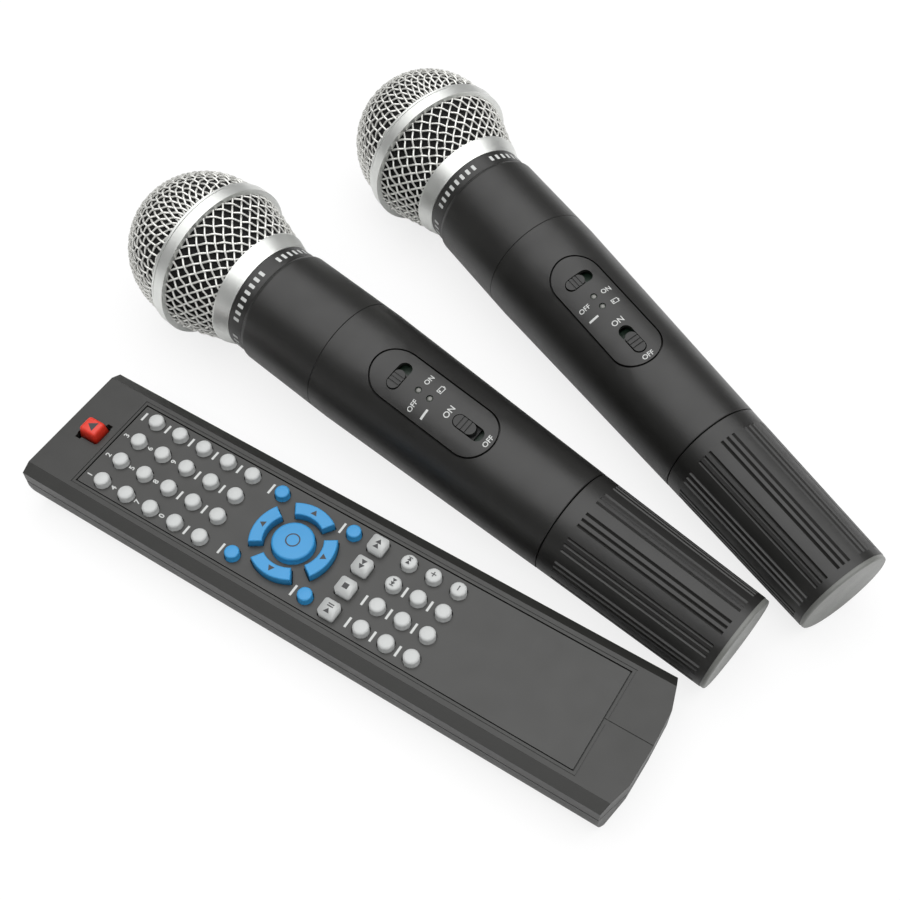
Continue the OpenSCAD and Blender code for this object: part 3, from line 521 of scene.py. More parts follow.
def join_into(target: bmesh.types.BMesh, source: bmesh.types.BMesh, place: Matrix) -> None:
    """Adds a copy of one bmesh to another and frees the source.

    Args:
        target: Mesh to add to.
        source: Mesh to add.
        place: Place of the source in the target's frame.
    """
    bmesh.ops.transform(source, matrix=place, verts=source.verts)
    data = bpy.data.meshes.new("joined")
    source.to_mesh(data)
    source.free()
    target.from_mesh(data)
    bpy.data.meshes.remove(data)


def lathe(outline: Sequence[tuple[float, float]], steps: int = 48) -> bmesh.types.BMesh:
    """Spins an outline round the Z axis.

    Args:
        outline: Radius and height of each point, from the axis up and back to it.
        steps: Number of steps in the turn.

    Returns:
        The closed round shape.
    """
    made = bmesh.new()
    points = [made.verts.new((radius, 0.0, height)) for radius, height in outline]
    edges = [made.edges.new(pair) for pair in zip(points, points[1:])]
    bmesh.ops.spin(made, geom=points + edges, cent=(0, 0, 0), axis=(0, 0, 1), angle=math.tau,
                   steps=steps, use_merge=True)
    bmesh.ops.remove_doubles(made, verts=made.verts, dist=1e-5)
    bmesh.ops.recalc_face_normals(made, faces=made.faces)
    return made


def raise_plan(plan: bmesh.types.BMesh, low: float, high: float, edge: float,
               segments: int = 4) -> bmesh.types.BMesh:
    """Raises a flat outline to a block whose top edge is rounded.

    Args:
        plan: Mesh with one flat face at height 0.
        low: Height of the underside.
        high: Height of the top.
        edge: Radius of the top edge.
        segments: Segments of the rounding.

    Returns:
        The same mesh, raised.
    """
    face = plan.faces[:][0]
    if face.normal.z < 0:
        face.normal_flip()
    bmesh.ops.translate(plan, vec=(0, 0, low), verts=plan.verts)
    raised = bmesh.ops.extrude_face_region(plan, geom=[face])
    verts = [item for item in raised["geom"] if isinstance(item, bmesh.types.BMVert)]
    bmesh.ops.translate(plan, vec=(0, 0, high - low), verts=verts)
    rim = [item for item in plan.edges if all(abs(v.co.z - high) < 1e-6 for v in item.verts)]
    bmesh.ops.bevel(plan, geom=rim, offset=edge, segments=segments, profile=0.5, affect="EDGES",
                    material=-1, clamp_overlap=True)
    bmesh.ops.recalc_face_normals(plan, faces=plan.faces)
    return plan


def polygon_plan(points: Sequence[tuple[float, float]]) -> bmesh.types.BMesh:
    """Makes one flat face from its corners."""
    made = bmesh.new()
    made.faces.new([made.verts.new((x, y, 0.0)) for x, y in points])
    made.normal_update()
    return made


def rounded_plan(length: float, width: float, radius: float, segments: int = 5) -> bmesh.types.BMesh:
    """Makes a flat rectangle with rounded corners.

    Args:
        length: Size along X.
        width: Size along Y.
        radius: Corner radius.
        segments: Segments of each corner.

    Returns:
        The flat face, centred.
    """
    made = polygon_plan([(x * length / 2, y * width / 2) for x, y in ((-1, -1), (1, -1), (1, 1), (-1, 1))])
    bmesh.ops.bevel(made, geom=made.verts[:], offset=radius, segments=segments, profile=0.5,
                    affect="VERTICES", material=-1)
    made.normal_update()
    return made


def circle_plan(radius: float, segments: int = 48) -> bmesh.types.BMesh:
    """Makes a flat disc."""
    made = bmesh.new()
    bmesh.ops.create_circle(made, cap_ends=True, segments=segments, radius=radius)
    made.normal_update()
    return made


def glyph_mesh(text: str, height: float, bold: float = 0.0) -> bmesh.types.BMesh:
    """Makes flat lettering, centred on its own middle.

    Args:
        text: The digits or the switch word.
        height: Height of a capital.
        bold: How far the strokes are thickened.

    Returns:
        Flat faces in the XY plane.
    """
    curve = bpy.data.curves.new("lettering", "FONT")
    curve.body = text
    curve.size = height / 0.72
    curve.align_x = "CENTER"
    curve.align_y = "CENTER"
    curve.offset = bold
    curve.resolution_u = 3
    holder = bpy.data.objects.new("lettering", curve)
    bpy.context.scene.collection.objects.link(holder)
    bpy.context.view_layer.update()
    data = bpy.data.meshes.new_from_object(holder.evaluated_get(bpy.context.evaluated_depsgraph_get()))
    made = bmesh.new()
    made.from_mesh(data)
    bpy.data.objects.remove(holder)
    bpy.data.curves.remove(curve)
    bpy.data.meshes.remove(data)
    bmesh.ops.remove_doubles(made, verts=made.verts, dist=1e-4)
    low = min(v.co.x for v in made.verts), min(v.co.y for v in made.verts)
    high = max(v.co.x for v in made.verts), max(v.co.y for v in made.verts)
    bmesh.ops.translate(made, vec=(-(low[0] + high[0]) / 2, -(low[1] + high[1]) / 2, 0), verts=made.verts)
    return made


class Mark(Enum):
    """Printed signs that mean the same on any device."""

    TRIANGLE = "triangle"
    PLAY_PAUSE = "play_pause"
    STOP = "stop"
    BACK = "back"
    FORWARD = "forward"
    SKIP_BACK = "skip_back"
    SKIP_FORWARD = "skip_forward"
    PLUS = "plus"
    MINUS = "minus"
    RING = "ring"
    BAR = "bar"
    CELL = "cell"


def mark_mesh(mark: Mark, size: float) -> bmesh.types.BMesh:
    """Makes a flat printed sign that reads along +X, centred.

    Args:
        mark: Which sign.
        size: Its height.

    Returns:
        Flat faces in the XY plane.
    """
    made = bmesh.new()

    def arrow(x: float, way: float, scale: float = 1.0) -> None:
        """Adds a triangle that points along X."""
        tip, half = size * 0.5 * scale, size * 0.5 * scale
        corners = [(x - way * tip * 0.8, -half), (x + way * tip * 0.8, 0.0), (x - way * tip * 0.8, half)]
        join_into(made, polygon_plan(corners if way > 0 else corners[::-1]), Matrix.Identity(4))

    def bar(x: float, y: float, length: float, width: float) -> None:
        """Adds a rectangle."""
        corners = [(x - length / 2, y - width / 2), (x + length / 2, y - width / 2),
                   (x + length / 2, y + width / 2), (x - length / 2, y + width / 2)]
        join_into(made, polygon_plan(corners), Matrix.Identity(4))

    step = size * 0.8
    if mark is Mark.TRIANGLE:
        arrow(0.0, 1.0)
    elif mark is Mark.PLAY_PAUSE:
        arrow(-step * 0.55, 1.0)
        bar(step * 0.35, 0.0, size * 0.2, size)
        bar(step * 0.8, 0.0, size * 0.2, size)
    elif mark is Mark.STOP:
        bar(0.0, 0.0, size * 0.9, size * 0.9)
    elif mark in (Mark.BACK, Mark.FORWARD, Mark.SKIP_BACK, Mark.SKIP_FORWARD):
        way = 1.0 if mark in (Mark.FORWARD, Mark.SKIP_FORWARD) else -1.0
        arrow(-step * 0.5, way)
        arrow(step * 0.5, way)
        if mark in (Mark.SKIP_BACK, Mark.SKIP_FORWARD):
            bar(way * step * 1.05, 0.0, size * 0.16, size)
    elif mark is Mark.PLUS:
        bar(0.0, 0.0, size, size * 0.18)
        bar(0.0, size * 0.295, size * 0.18, size * 0.41)
        bar(0.0, -size * 0.295, size * 0.18, size * 0.41)
    elif mark is Mark.MINUS:
        bar(0.0, 0.0, size, size * 0.18)
    elif mark is Mark.BAR:
        bar(0.0, 0.0, size, 0.75)
    elif mark is Mark.RING:
        disc = circle_plan(size / 2, 40)
        bmesh.ops.inset_individual(disc, faces=disc.faces[:], thickness=size * 0.09)
        disc.faces.ensure_lookup_table()
        inner = min(disc.faces, key=lambda f: f.calc_center_median().length + (0 if len(f.verts) > 8 else 9))
        bmesh.ops.delete(disc, geom=[inner], context="FACES")
        join_into(made, disc, Matrix.Identity(4))
    elif mark is Mark.CELL:
        bar(0.0, size * 0.43, size * 1.5, size * 0.14)
        bar(0.0, -size * 0.43, size * 1.5, size * 0.14)
        bar(-size * 0.68, 0.0, size * 0.14, size * 0.72)
        bar(size * 0.68, 0.0, size * 0.14, size * 0.72)
        bar(size * 0.86, 0.0, size * 0.16, size * 0.4)
        bar(-size * 0.36, 0.0, size * 0.26, size * 0.44)
    return made


# ---------------------------------------------------------------- remote control


@dataclass
class RemoteControl:
    """Slim remote with raised keys. Its own frame starts at the head end, on the centre line."""

    corner: Vector = field(default_factory=lambda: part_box("remote_top_shell")[0] / MM)
    far_corner: Vector = field(default_factory=lambda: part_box("remote_top_shell")[1] / MM)
    plate_top: float = field(default_factory=lambda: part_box("remote_faceplate")[1].z / MM)
    upper_from_head: float = 24.6
    upper_pitch: tuple[float, float] = (9.55, 8.7)
    lower_from_head: float = 121.0
    lower_pitch: tuple[float, float] = (8.6, 8.4)
    square_from_head: float = 110.0
    ring_from_head: float = 88.0
    key_radius: float = 2.48
    square_side: float = 5.3
    enter_radius: float = 6.6
    arrow_radii: tuple[float, float] = (9.2, 13.4)
    arrow_angle: float = 66.0
    small_radius: float = 2.3
    small_offset: tuple[float, float] = (13.3, 12.5)
    red_from_head: float = 9.6
    red_size: tuple[float, float] = (7.8, 7.0)

    def frame(self) -> Matrix:
        """Gives the place of the remote's own frame in the set, in millimetres."""
        middle = (self.corner.y + self.far_corner.y) / 2
        return Matrix.Translation((self.corner.x, middle, 0.0))

    def flange_top(self, node: str) -> float:
        """Gives the height of a key's underside."""
        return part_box(node)[0].z / MM

    def top(self, node: str) -> float:
        """Gives the height of a key's top."""
        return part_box(node)[1].z / MM

    def round_key(self, node: str, radius: float, edge: float = 0.95) -> bmesh.types.BMesh:
        """Makes a round key with a soft edge and a slight crown, round its own centre.

        Args:
            node: The solid that it stands for, which gives its heights.
            radius: Radius of the key.
            edge: Radius of its top edge.

        Returns:
            The key's mesh.
        """
        low, top = self.flange_top(node), self.top(node)
        crown = min(0.24, edge * 0.25)
        arc = [(radius - edge + edge * math.sin(a), top - crown - edge + edge * math.cos(a))
               for a in (math.radians(90 - 15 * i) for i in range(7))]
        outline = [(0.0, low), (radius + 0.7, low), (radius + 0.7, low + 0.9), (radius, low + 0.9)]
        outline += arc + [((radius - edge) * k, top - crown * k * k) for k in (0.66, 0.33, 0.0)]
        return lathe(outline, 40)

    def plate_keys(self) -> None:
        """Makes the rows of round keys and the square keys."""
        rows = [(f"number_keys_row_{i + 1}", self.upper_from_head + i * self.upper_pitch[0], self.upper_pitch[1])
                for i in range(5)]
        rows += [(f"function_keys_row_{i + 1}", self.lower_from_head + i * self.lower_pitch[0], self.lower_pitch[1])
                 for i in range(3)]
        for node, x, pitch in rows:
            made = bmesh.new()
            for j in range(4):
                join_into(made, self.round_key(node, self.key_radius),
                          Matrix.Translation((x, (j - 1.5) * pitch, 0.0)))
            piece = finish_piece(f"{node}_caps", made, self.frame(), "white_key", f"{node}_body")
            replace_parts(piece, node)
        for j, node in enumerate(("play_key", "stop_key", "reverse_key", "forward_key")):
            made = self.moulded(node, rounded_plan(self.square_side, self.square_side, 0.9), 0.55)
            place = self.frame() @ Matrix.Translation(
                (self.square_from_head, (j - 1.5) * self.lower_pitch[1], 0.0))
            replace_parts(finish_piece(f"{node}_cap", made, place, "white_key", f"{node}_body"), node)

    def moulded(self, node: str, plan: bmesh.types.BMesh, edge: float) -> bmesh.types.BMesh:
        """Raises a key's plan from its flange to its top.

        Args:
            node: The solid that the key stands for.
            plan: Flat outline of the key.
            edge: Radius of its top edge.

        Returns:
            The key's mesh.
        """
        return raise_plan(plan, self.flange_top(node), self.top(node), edge)

    def arrow_plan(self, angle: float) -> bmesh.types.BMesh:
        """Makes the flat outline of one arrow key of the ring.

        Args:
            angle: Direction of the key from the ring's centre, in degrees.

        Returns:
            One flat face.
        """
        inner, outer = self.arrow_radii
        half = math.radians(self.arrow_angle / 2)
        turns = [-half + 2 * half * i / 20 for i in range(21)]
        points = [(outer * math.cos(t), outer * math.sin(t)) for t in turns]
        points += [(inner * math.cos(t), inner * math.sin(t)) for t in reversed(turns)]
        made = polygon_plan(points)
        bmesh.ops.rotate(made, cent=(0, 0, 0), matrix=Matrix.Rotation(math.radians(angle), 3, "Z"),
                         verts=made.verts)
        return made

    def ring_keys(self) -> None:
        """Makes the centre key, the four arrow keys and the four small blue keys."""
        centre = self.frame() @ Matrix.Translation((self.ring_from_head, 0.0, 0.0))
        enter = finish_piece("enter_key_cap", self.round_key("enter_key", self.enter_radius, 0.9), centre,
                             "blue_key", "enter_key_body")
        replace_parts(enter, "enter_key")
        for node, angle in (("up_arrow_key", 180.0), ("down_arrow_key", 0.0), ("left_arrow_key", 270.0),
                            ("right_arrow_key", 90.0)):
            made = self.moulded(node, self.arrow_plan(angle), 0.5)
            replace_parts(finish_piece(f"{node}_cap", made, centre, "blue_key", f"{node}_body", smooth=False), node)
        for node, sx, sy in (("eject_key", -1, 1), ("setup_key", -1, -1), ("menu_key", 1, 1), ("title_key", 1, -1)):
            place = centre @ Matrix.Translation((sx * self.small_offset[0], sy * self.small_offset[1], 0.0))
            piece = finish_piece(f"{node}_cap", self.round_key(node, self.small_radius, 0.6), place,
                                 "blue_key", f"{node}_body")
            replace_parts(piece, node)

    def red(self) -> None:
        """Makes the red key, a small rounded block whose sides draw in towards the top."""
        low, top = self.flange_top("red_key"), self.top("red_key")
        made = bmesh.new()
        bmesh.ops.create_cube(made, size=1.0)
        bmesh.ops.scale(made, vec=(*self.red_size, top - low), verts=made.verts)
        bmesh.ops.translate(made, vec=(0, 0, (top + low) / 2), verts=made.verts)
        upper = [v for v in made.verts if v.co.z > (top + low) / 2]
        bmesh.ops.scale(made, vec=(0.80, 0.78, 1.0), verts=upper)
        sides = [e for e in made.edges if abs(e.verts[0].co.z - e.verts[1].co.z) > 1]
        rim = [e for e in made.edges if all(v.co.z > top - 1e-4 for v in e.verts)]
        bmesh.ops.bevel(made, geom=sides + rim, offset=1.05, segments=5, profile=0.5, affect="EDGES",
                        material=-1)
        bmesh.ops.recalc_face_normals(made, faces=made.faces)
        place = self.frame() @ Matrix.Translation((self.red_from_head, 0.0, 0.0))
        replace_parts(finish_piece("red_key_cap", made, place, "red_key", "red_key_body"), "red_key")

    def print_on(self, name: str, art: bmesh.types.BMesh, x: float, y: float, z: float, ink: str, body: str) -> None:
        """Prints flat art so that it reads with the head end up.

        Args:
            name: Name of the printed piece.
            art: Flat faces that read along +X.
            x: Place along the remote from its head end.
            y: Place across it from the centre line.
            z: Height of the surface.
            ink: Finish of the print.
            body: Body that it rides on.
        """
        if not art.faces:
            art.free()
            return
        place = self.frame() @ Matrix.Translation((x, y, z + 0.015)) @ Matrix.Rotation(math.pi / 2, 4, "Z")
        finish_piece(name, art, place, ink, body, smooth=False)

    def prints(self) -> None:
        """Prints the digits, the signs and the plain bars."""
        art = bmesh.new()
        turn = Matrix.Identity(4)
        for i in range(5):
            for j in range(4):
                digits = {(0, 0): "1", (0, 1): "2", (0, 2): "3", (1, 0): "4", (1, 1): "5", (1, 2): "6",
                          (2, 0): "7", (2, 1): "8", (2, 2): "9", (3, 0): "0"}.get((i, j))
                spot = (self.upper_from_head + i * self.upper_pitch[0] - 5.25, (j - 1.5) * self.upper_pitch[1])
                piece = glyph_mesh(digits, 1.9, 0.045) if digits else mark_mesh(Mark.BAR, 3.2)
                join_into(art, piece, Matrix.Translation((spot[1], -spot[0], 0.0)) @ turn)
        for i in range(3):
            for j in range(4):
                if (i, j) in ((0, 2), (0, 3), (1, 3), (2, 3)):
                    continue
                spot = (self.lower_from_head + i * self.lower_pitch[0] - 4.6, (j - 1.5) * self.lower_pitch[1])
                join_into(art, mark_mesh(Mark.BAR, 3.6), Matrix.Translation((spot[1], -spot[0], 0.0)))
        for sx, sy in ((-1, 1), (-1, -1), (1, 1), (1, -1)):
            spot = (self.ring_from_head + sx * self.small_offset[0] - 4.3, sy * self.small_offset[1])
            join_into(art, mark_mesh(Mark.BAR, 3.8), Matrix.Translation((spot[1], -spot[0], 0.0)))
        self.print_on("faceplate_print", art, 0.0, 0.0, self.plate_top, "white_print", "remote")
        for j, (node, mark) in enumerate((("play_key", Mark.PLAY_PAUSE), ("stop_key", Mark.STOP),
                                          ("reverse_key", Mark.BACK), ("forward_key", Mark.FORWARD))):
            self.print_on(f"{node}_sign", mark_mesh(mark, 2.0), self.square_from_head,
                          (j - 1.5) * self.lower_pitch[1], self.top(node), "dark_print", f"{node}_body")
        for i, j, mark in ((0, 2, Mark.SKIP_BACK), (0, 3, Mark.SKIP_FORWARD), (1, 3, Mark.PLUS), (2, 3, Mark.MINUS)):
            node = f"function_keys_row_{i + 1}"
            self.print_on(f"{node}_sign_{j + 1}", mark_mesh(mark, 1.4 if j == 2 or i == 0 else 1.75),
                          self.lower_from_head + i * self.lower_pitch[0], (j - 1.5) * self.lower_pitch[1],
                          self.top(node), "dark_print", f"{node}_body")
        middle = sum(self.arrow_radii) / 2
        for node, angle in (("up_arrow_key", 180.0), ("down_arrow_key", 0.0), ("left_arrow_key", 270.0),
                            ("right_arrow_key", 90.0)):
            sign = mark_mesh(Mark.TRIANGLE, 2.2)
            bmesh.ops.rotate(sign, cent=(0, 0, 0), matrix=Matrix.Rotation(math.radians(angle - 90), 3, "Z"),
                             verts=sign.verts)
            x = self.ring_from_head + middle * math.cos(math.radians(angle))
            y = middle * math.sin(math.radians(angle))
            self.print_on(f"{node}_sign", sign, x, y, self.top(node), "dark_print", f"{node}_body")
        sign = mark_mesh(Mark.TRIANGLE, 3.6)
        bmesh.ops.rotate(sign, cent=(0, 0, 0), matrix=Matrix.Rotation(math.pi / 2, 3, "Z"), verts=sign.verts)
        self.print_on("red_key_sign", sign, self.red_from_head, 0.0, self.top("red_key"), "dark_print",
                      "red_key_body")
        self.print_on("enter_key_sign", mark_mesh(Mark.RING, 4.6), self.ring_from_head, 0.0,
                      self.top("enter_key") - 0.02, "dark_print", "enter_key_body")

    def build(self) -> None:
        """Builds every piece of the remote."""
        self.plate_keys()
        self.ring_keys()
        self.red()
        self.prints()


# ---------------------------------------------------------------- microphone


@dataclass
class HandMicrophone:
    """Wireless hand microphone. Its own frame has its length on X, from the ball's centre."""

    name: str
    place_mm: tuple[float, float]
    turn_deg: float
    roll_deg: float
    net_turn_deg: float
    band_radius: float = 27.8
    band_at: float = 2.4
    band_to: float = 8.0
    tail_radius: float = 15.75
    tail_rest: float = 216.35
    dome_radius: float = 26.7
    mesh_thickness: float = 0.8
    skirt_radius: float = 26.4
    skirt_swell: float = 0.4
    collar_head_radius: float = 20.9
    collar_at: float = 24.8
    wire_radius: float = 0.36
    sleeve_radius: float = 20.1
    barrel_tail_radius: float = 17.4
    taper_from: float = 73.2
    barrel_to: float = 157.8
    ring_radius: float = 19.3
    wire_pitch: float = 2.8

    def frame(self) -> Matrix:
        """Gives the place of the microphone's own frame in the set, in millimetres."""
        tilt = math.atan((self.band_radius - self.tail_radius) / (self.tail_rest - self.band_to))
        height = self.band_to * math.sin(tilt) + self.band_radius * math.cos(tilt)
        return (Matrix.Translation((*self.place_mm, height))
                @ Matrix.Rotation(math.radians(self.turn_deg), 4, "Z") @ Matrix.Rotation(tilt, 4, "Y")
                @ Matrix.Rotation(math.radians(self.roll_deg), 4, "X"))

    def mid_radius(self) -> float:
        """Gives the radius of the dome's wires at their crossings."""
        return self.dome_radius - 2 * self.wire_radius

    def draped_net(self, pitch: float) -> dict[tuple[int, int], Vector]:
        """Drapes square cloth over the dome, starting from two crossed wires at its pole.

        Args:
            pitch: Distance between crossings along a wire.

        Returns:
            Direction of each crossing from the ball's centre, by its row and column.
        """
        step = pitch / self.mid_radius()
        count = int(math.pi / 2 / step) + 4
        net = {(0, 0): Vector((-1.0, 0.0, 0.0))}
        for i in range(1, count):
            net[(i, 0)] = Vector((-math.cos(i * step), math.sin(i * step), 0.0))
            net[(0, i)] = Vector((-math.cos(i * step), 0.0, math.sin(i * step)))
        for i in range(1, count):
            for j in range(1, count):
                first, second = net.get((i - 1, j)), net.get((i, j - 1))
                back = net.get((i - 1, j - 1))
                if first is None or second is None or back is None:
                    continue
                middle = first + second
                across = first.cross(second)
                if middle.length < 1e-6 or across.length < 1e-6:
                    continue
                half = first.angle(second) / 2
                if half >= step:
                    continue
                reach = math.acos(math.cos(step) / math.cos(half))
                middle.normalize()
                outward = (middle - back * middle.dot(back)).normalized()
                tangent = (outward - middle * outward.dot(middle)).normalized()
                net[(i, j)] = (middle * math.cos(reach) + tangent * math.sin(reach)).normalized()
        whole: dict[tuple[int, int], Vector] = {}
        for (i, j), point in net.items():
            for si in (1, -1):
                for sj in (1, -1):
                    whole[(si * i, sj * j)] = Vector((point.x, si * point.y, sj * point.z))
        return whole

    def dome_wires(self) -> list[list[Vector]]:
        """Gives the centre line of each wire of the dome, weaving over and under the others."""
        net = self.draped_net(self.wire_pitch)
        limit = self.band_at + 0.4
        radius = self.mid_radius()
        lines: list[list[Vector]] = []
        rows = sorted({key[0] for key in net})
        for family in (0, 1):
            for row in rows:
                keys = sorted((k for k in net if k[family] == row), key=lambda k: k[1 - family])
                run: list[Vector] = []
                for first, second in zip(keys, keys[1:] + [None]):
                    here = net[first] * radius
                    if here.x > limit or second is None or second[1 - family] != first[1 - family] + 1:
                        if len(run) > 2:
                            lines.append(run)
                        run = []
                        continue
                    sign = 1.0 if (first[0] + first[1] + family) % 2 else -1.0
                    there = net[second]
                    for k in range(4):
                        part = k / 4
                        direction = net[first].lerp(there, part).normalized()
                        lift = sign * math.cos(math.pi * part) * self.wire_radius * 0.95
                        run.append(direction * (radius + lift))
                if len(run) > 2:
                    lines.append(run)
        turn = Matrix.Rotation(math.radians(self.net_turn_deg), 3, "X")
        return [[turn @ point for point in line] for line in lines]

    def skirt_profile(self, place: float) -> float:
        """Gives the outside radius of the skirt at a place along the microphone."""
        part = (place - self.band_to) / (self.collar_at - self.band_to)
        straight = self.skirt_radius + (self.collar_head_radius - self.skirt_radius) * part
        return straight + self.skirt_swell * math.sin(math.pi * min(1.0, max(0.0, part)))

    def skirt_wires(self) -> list[list[Vector]]:
        """Gives the centre line of each wire of the skirt: two families of slanted wires."""
        start, stop = self.band_to - 0.6, self.collar_at + 0.6
        middle = (self.skirt_radius + self.collar_head_radius) / 2
        count = round(math.tau * middle / (self.wire_pitch * math.sqrt(2)))
        turn_per_wire = math.tau / count
        steps = 5 * round((stop - start) / (self.wire_pitch / math.sqrt(2)))
        places = [start + (stop - start) * i / steps for i in range(steps + 1)]
        swing = [0.0]
        for first, second in zip(places, places[1:]):
            radius = self.skirt_profile((first + second) / 2)
            swing.append(swing[-1] + (second - first) / radius)
        lines = []
        for way in (1, -1):
            for index in range(count):
                line = []
                for place, angle in zip(places, swing):
                    lift = way * math.cos(math.tau * angle / turn_per_wire) * self.wire_radius * 0.95
                    radius = self.skirt_profile(place) - 2 * self.wire_radius + lift
                    turned = index * turn_per_wire + way * angle
                    line.append(Vector((place, radius * math.cos(turned), radius * math.sin(turned))))
                lines.append(line)
        return lines

    def grille(self) -> None:
        """Builds the woven wire of the ball, dome and skirt, as round wires."""
        curve = bpy.data.curves.new("wire", "CURVE")
        curve.dimensions = "3D"
        curve.bevel_depth = self.wire_radius
        curve.bevel_resolution = 1
        for line in self.dome_wires() + self.skirt_wires():
            spline = curve.splines.new("POLY")
            spline.points.add(len(line) - 1)
            for point, place in zip(spline.points, line):
                point.co = (*place, 1.0)
        holder = bpy.data.objects.new("wire", curve)
        bpy.context.scene.collection.objects.link(holder)
        bpy.context.view_layer.update()
        data = bpy.data.meshes.new_from_object(holder.evaluated_get(bpy.context.evaluated_depsgraph_get()))
        made = bmesh.new()
        made.from_mesh(data)
        bpy.data.objects.remove(holder)
        bpy.data.curves.remove(curve)
        bpy.data.meshes.remove(data)
        piece = finish_piece(f"{self.name}_woven_grille", made, self.frame(), "grille_wire",
                             f"{self.name}_grille")
        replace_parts(piece, f"{self.name}_grille_mesh")

    def barrel_radius(self, place: float) -> float:
        """Gives the barrel's radius at a place along the microphone."""
        part = max(0.0, (place - self.taper_from) / (self.barrel_to - self.taper_from))
        return self.sleeve_radius + (self.barrel_tail_radius - self.sleeve_radius) * part

    def wrap(self, art: bmesh.types.BMesh, place: float, across: float, proud: float = 0.03) -> bmesh.types.BMesh:
        """Lays flat art on the round barrel so that it reads across the microphone.

        Args:
            art: Flat faces that read along +X.
            place: Place of its middle along the microphone.
            across: Place of its middle round the barrel, from the top.
            proud: How far it stands off the surface.

        Returns:
            The same mesh, wrapped.
        """
        bmesh.ops.subdivide_edges(art, edges=[e for e in art.edges if e.calc_length() > 1.0], cuts=5,
                                  use_grid_fill=True)
        for vert in art.verts:
            along = place - vert.co.y
            radius = self.barrel_radius(along)
            angle = (across + vert.co.x) / radius
            vert.co = Vector((along, (radius + proud) * math.sin(angle), (radius + proud) * math.cos(angle)))
        return art

    def panel_prints(self) -> None:
        """Prints the switch words and signs, and sets the two lamps."""
        art = bmesh.new()
        words = ((glyph_mesh("OFF", 1.7, 0.03), 101.9, -5.0), (glyph_mesh("ON", 1.7, 0.03), 100.6, 4.6),
                 (mark_mesh(Mark.BAR, 3.6), 106.6, -4.9), (mark_mesh(Mark.CELL, 1.7), 105.6, 4.4),
                 (glyph_mesh("ON", 2.0, 0.03), 112.2, 0.2), (glyph_mesh("OFF", 1.7, 0.03), 127.4, 0.2))
        for word, place, across in words:
            join_into(art, self.wrap(word, place, across), Matrix.Identity(4))
        finish_piece(f"{self.name}_panel_print", art, self.frame(), "white_print", self.name, smooth=False)
        for index, place in enumerate((100.3, 104.8)):
            lens = lathe([(0.0, -1.2), (0.95, -1.2), (0.95, -0.25), (0.7, 0.0), (0.35, 0.12), (0.0, 0.15)], 20)
            spot = Matrix.Translation((place, 0.0, self.barrel_radius(place) - 0.15))
            finish_piece(f"{self.name}_lamp_{index + 1}", lens, self.frame() @ spot, "lamp_lens", self.name)

    def neck_print(self) -> None:
        """Prints rows of plain upright blocks round the neck ring."""
        art = bmesh.new()
        for index in range(48):
            if index % 24 in (8, 9, 22, 23):
                continue
            tick = rounded_plan(1.15, 2.3, 0.2, 2)
            spot = (Matrix.Rotation(index * math.tau / 48, 4, "X")
                    @ Matrix.Translation((33.5, 0.0, self.ring_radius + 0.05))
                    @ Matrix.Rotation(math.pi / 2, 4, "Z"))
            join_into(art, tick, spot)
        finish_piece(f"{self.name}_neck_print", art, self.frame(), "white_print", self.name, smooth=False)

    def build(self) -> None:
        """Builds every piece of the microphone."""
        self.grille()
        self.panel_prints()
        self.neck_print()


# ---------------------------------------------------------------- studio


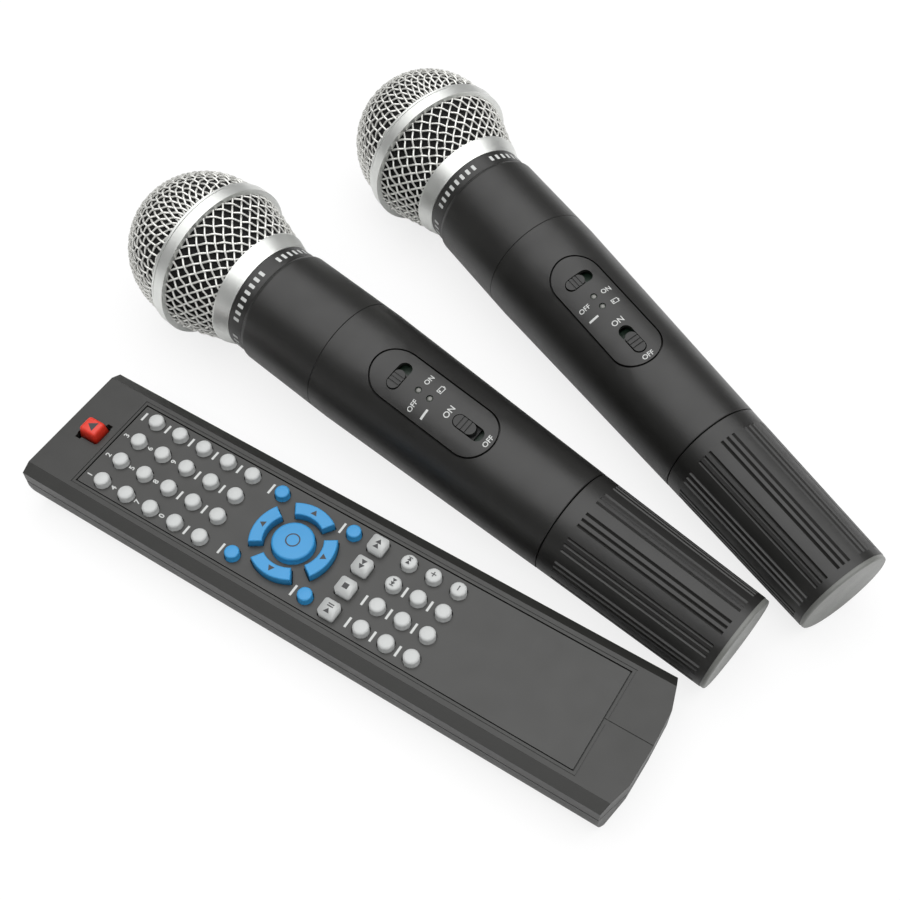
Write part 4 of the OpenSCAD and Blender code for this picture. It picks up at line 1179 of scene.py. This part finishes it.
@dataclass
class Studio:
    """White sweep, soft light and the camera."""

    azimuth_deg: float = 32.109
    elevation_deg: float = 55.0
    distance: float = 0.41384
    target: tuple[float, float, float] = (-0.003263, -0.01732, 0.0)
    lens_mm: float = 50.0

    def camera(self) -> None:
        """Sets the camera at the photograph's viewing angle."""
        azimuth, elevation = math.radians(self.azimuth_deg), math.radians(self.elevation_deg)
        way = Vector((math.sin(azimuth) * math.cos(elevation), -math.cos(azimuth) * math.cos(elevation),
                      math.sin(elevation)))
        data = bpy.data.cameras.new("camera")
        data.lens = self.lens_mm
        data.sensor_width = 36.0
        data.clip_start = 0.01
        holder = bpy.data.objects.new("camera", data)
        bpy.context.scene.collection.objects.link(holder)
        holder.location = Vector(self.target) + way * self.distance
        holder.rotation_euler = (-way).to_track_quat("-Z", "Y").to_euler()
        bpy.context.scene.camera = holder

    def floor(self) -> None:
        """Lays a pale floor that shows nearly white to the camera and keeps the shadows."""
        data = bpy.data.meshes.new("floor")
        mesh = bmesh.new()
        bmesh.ops.create_grid(mesh, x_segments=1, y_segments=1, size=6.0)
        bmesh.ops.translate(mesh, vec=(0, 0, -0.0004), verts=mesh.verts)
        mesh.to_mesh(data)
        mesh.free()
        holder = bpy.data.objects.new("floor", data)
        bpy.context.scene.collection.objects.link(holder)
        made = bpy.data.materials.new("white_floor")
        made.use_nodes = True
        tree = made.node_tree
        tree.nodes.clear()
        diffuse = tree.nodes.new("ShaderNodeBsdfDiffuse")
        diffuse.inputs["Color"].default_value = (0.86, 0.86, 0.86, 1.0)
        glow = tree.nodes.new("ShaderNodeEmission")
        glow.inputs["Color"].default_value = (1.0, 1.0, 1.0, 1.0)
        glow.inputs["Strength"].default_value = 1.0
        mix = tree.nodes.new("ShaderNodeMixShader")
        path = tree.nodes.new("ShaderNodeLightPath")
        tree.links.new(math_node(tree, "MULTIPLY", path.outputs["Is Camera Ray"], 0.8), mix.inputs[0])
        tree.links.new(diffuse.outputs[0], mix.inputs[1])
        tree.links.new(glow.outputs[0], mix.inputs[2])
        out = tree.nodes.new("ShaderNodeOutputMaterial")
        tree.links.new(mix.outputs[0], out.inputs["Surface"])
        data.materials.append(made)

    def lamp(self, name: str, place: tuple[float, float, float], size: float, watts: float) -> None:
        """Hangs a square soft box that faces the set.

        Args:
            name: Name of the light.
            place: Where it hangs, in metres.
            size: Side of the square, in metres.
            watts: Its power.
        """
        data = bpy.data.lights.new(name, "AREA")
        data.energy = watts
        data.size = size
        holder = bpy.data.objects.new(name, data)
        bpy.context.scene.collection.objects.link(holder)
        holder.location = place
        holder.rotation_euler = (Vector(place)).to_track_quat("Z", "Y").to_euler()

    def world(self) -> None:
        """Sets a plain world: white to the eye and to light passing through, dimmer as light and to gloss."""
        made = bpy.data.worlds.new("studio")
        bpy.context.scene.world = made
        made.use_nodes = True
        tree = made.node_tree
        path = tree.nodes.new("ShaderNodeLightPath")
        shown = math_node(tree, "MAXIMUM", path.outputs["Is Camera Ray"], path.outputs["Is Transmission Ray"])
        plain = tree.nodes["Background"]
        plain.inputs["Color"].default_value = (1.0, 1.0, 1.0, 1.0)
        plain.inputs["Strength"].default_value = 0.2
        white = tree.nodes.new("ShaderNodeBackground")
        white.inputs["Color"].default_value = (1.0, 1.0, 1.0, 1.0)
        white.inputs["Strength"].default_value = 1.0
        mix = tree.nodes.new("ShaderNodeMixShader")
        tree.links.new(shown, mix.inputs[0])
        tree.links.new(plain.outputs[0], mix.inputs[1])
        tree.links.new(white.outputs[0], mix.inputs[2])
        tree.links.new(mix.outputs[0], tree.nodes["World Output"].inputs["Surface"])

    def build(self) -> None:
        """Builds the studio."""
        self.camera()
        self.floor()
        self.world()
        self.lamp("overhead_soft_box", (0.0, 0.05, 1.2), 2.2, 35.0)
        self.lamp("right_soft_box", (1.5, -0.35, 0.45), 0.7, 3.0)
        view = bpy.context.scene.view_settings
        view.view_transform = "Standard"


def dress_solids() -> None:
    """Gives every carried-over solid the finish of its material slot."""
    slots = {row["node"]: row["material_slot"] for row in frame["record"]["subparts"]}
    for node, piece in frame["nodes"].items():
        Wardrobe.dress(piece, slots[node])
        LOG.info("%s: finish %s", node, slots[node])


def main() -> None:
    """Builds the set, piece by piece."""
    logging.basicConfig(level=logging.INFO, format="%(name)s: %(message)s")
    bpy.context.scene.view_settings.view_transform = "Standard"
    dress_solids()
    shift = (-106.173, -81.4)
    RemoteControl().build()
    HandMicrophone("mic_a", (shift[0] - 0.9, shift[1] + 74.0), -8.8, 15.5, 45.0).build()
    HandMicrophone("mic_b", (shift[0] + 34.2, shift[1] + 159.2), -23.45, 14.0, 40.0).build()
    Studio().build()


if __name__ == "__main__":
    main()
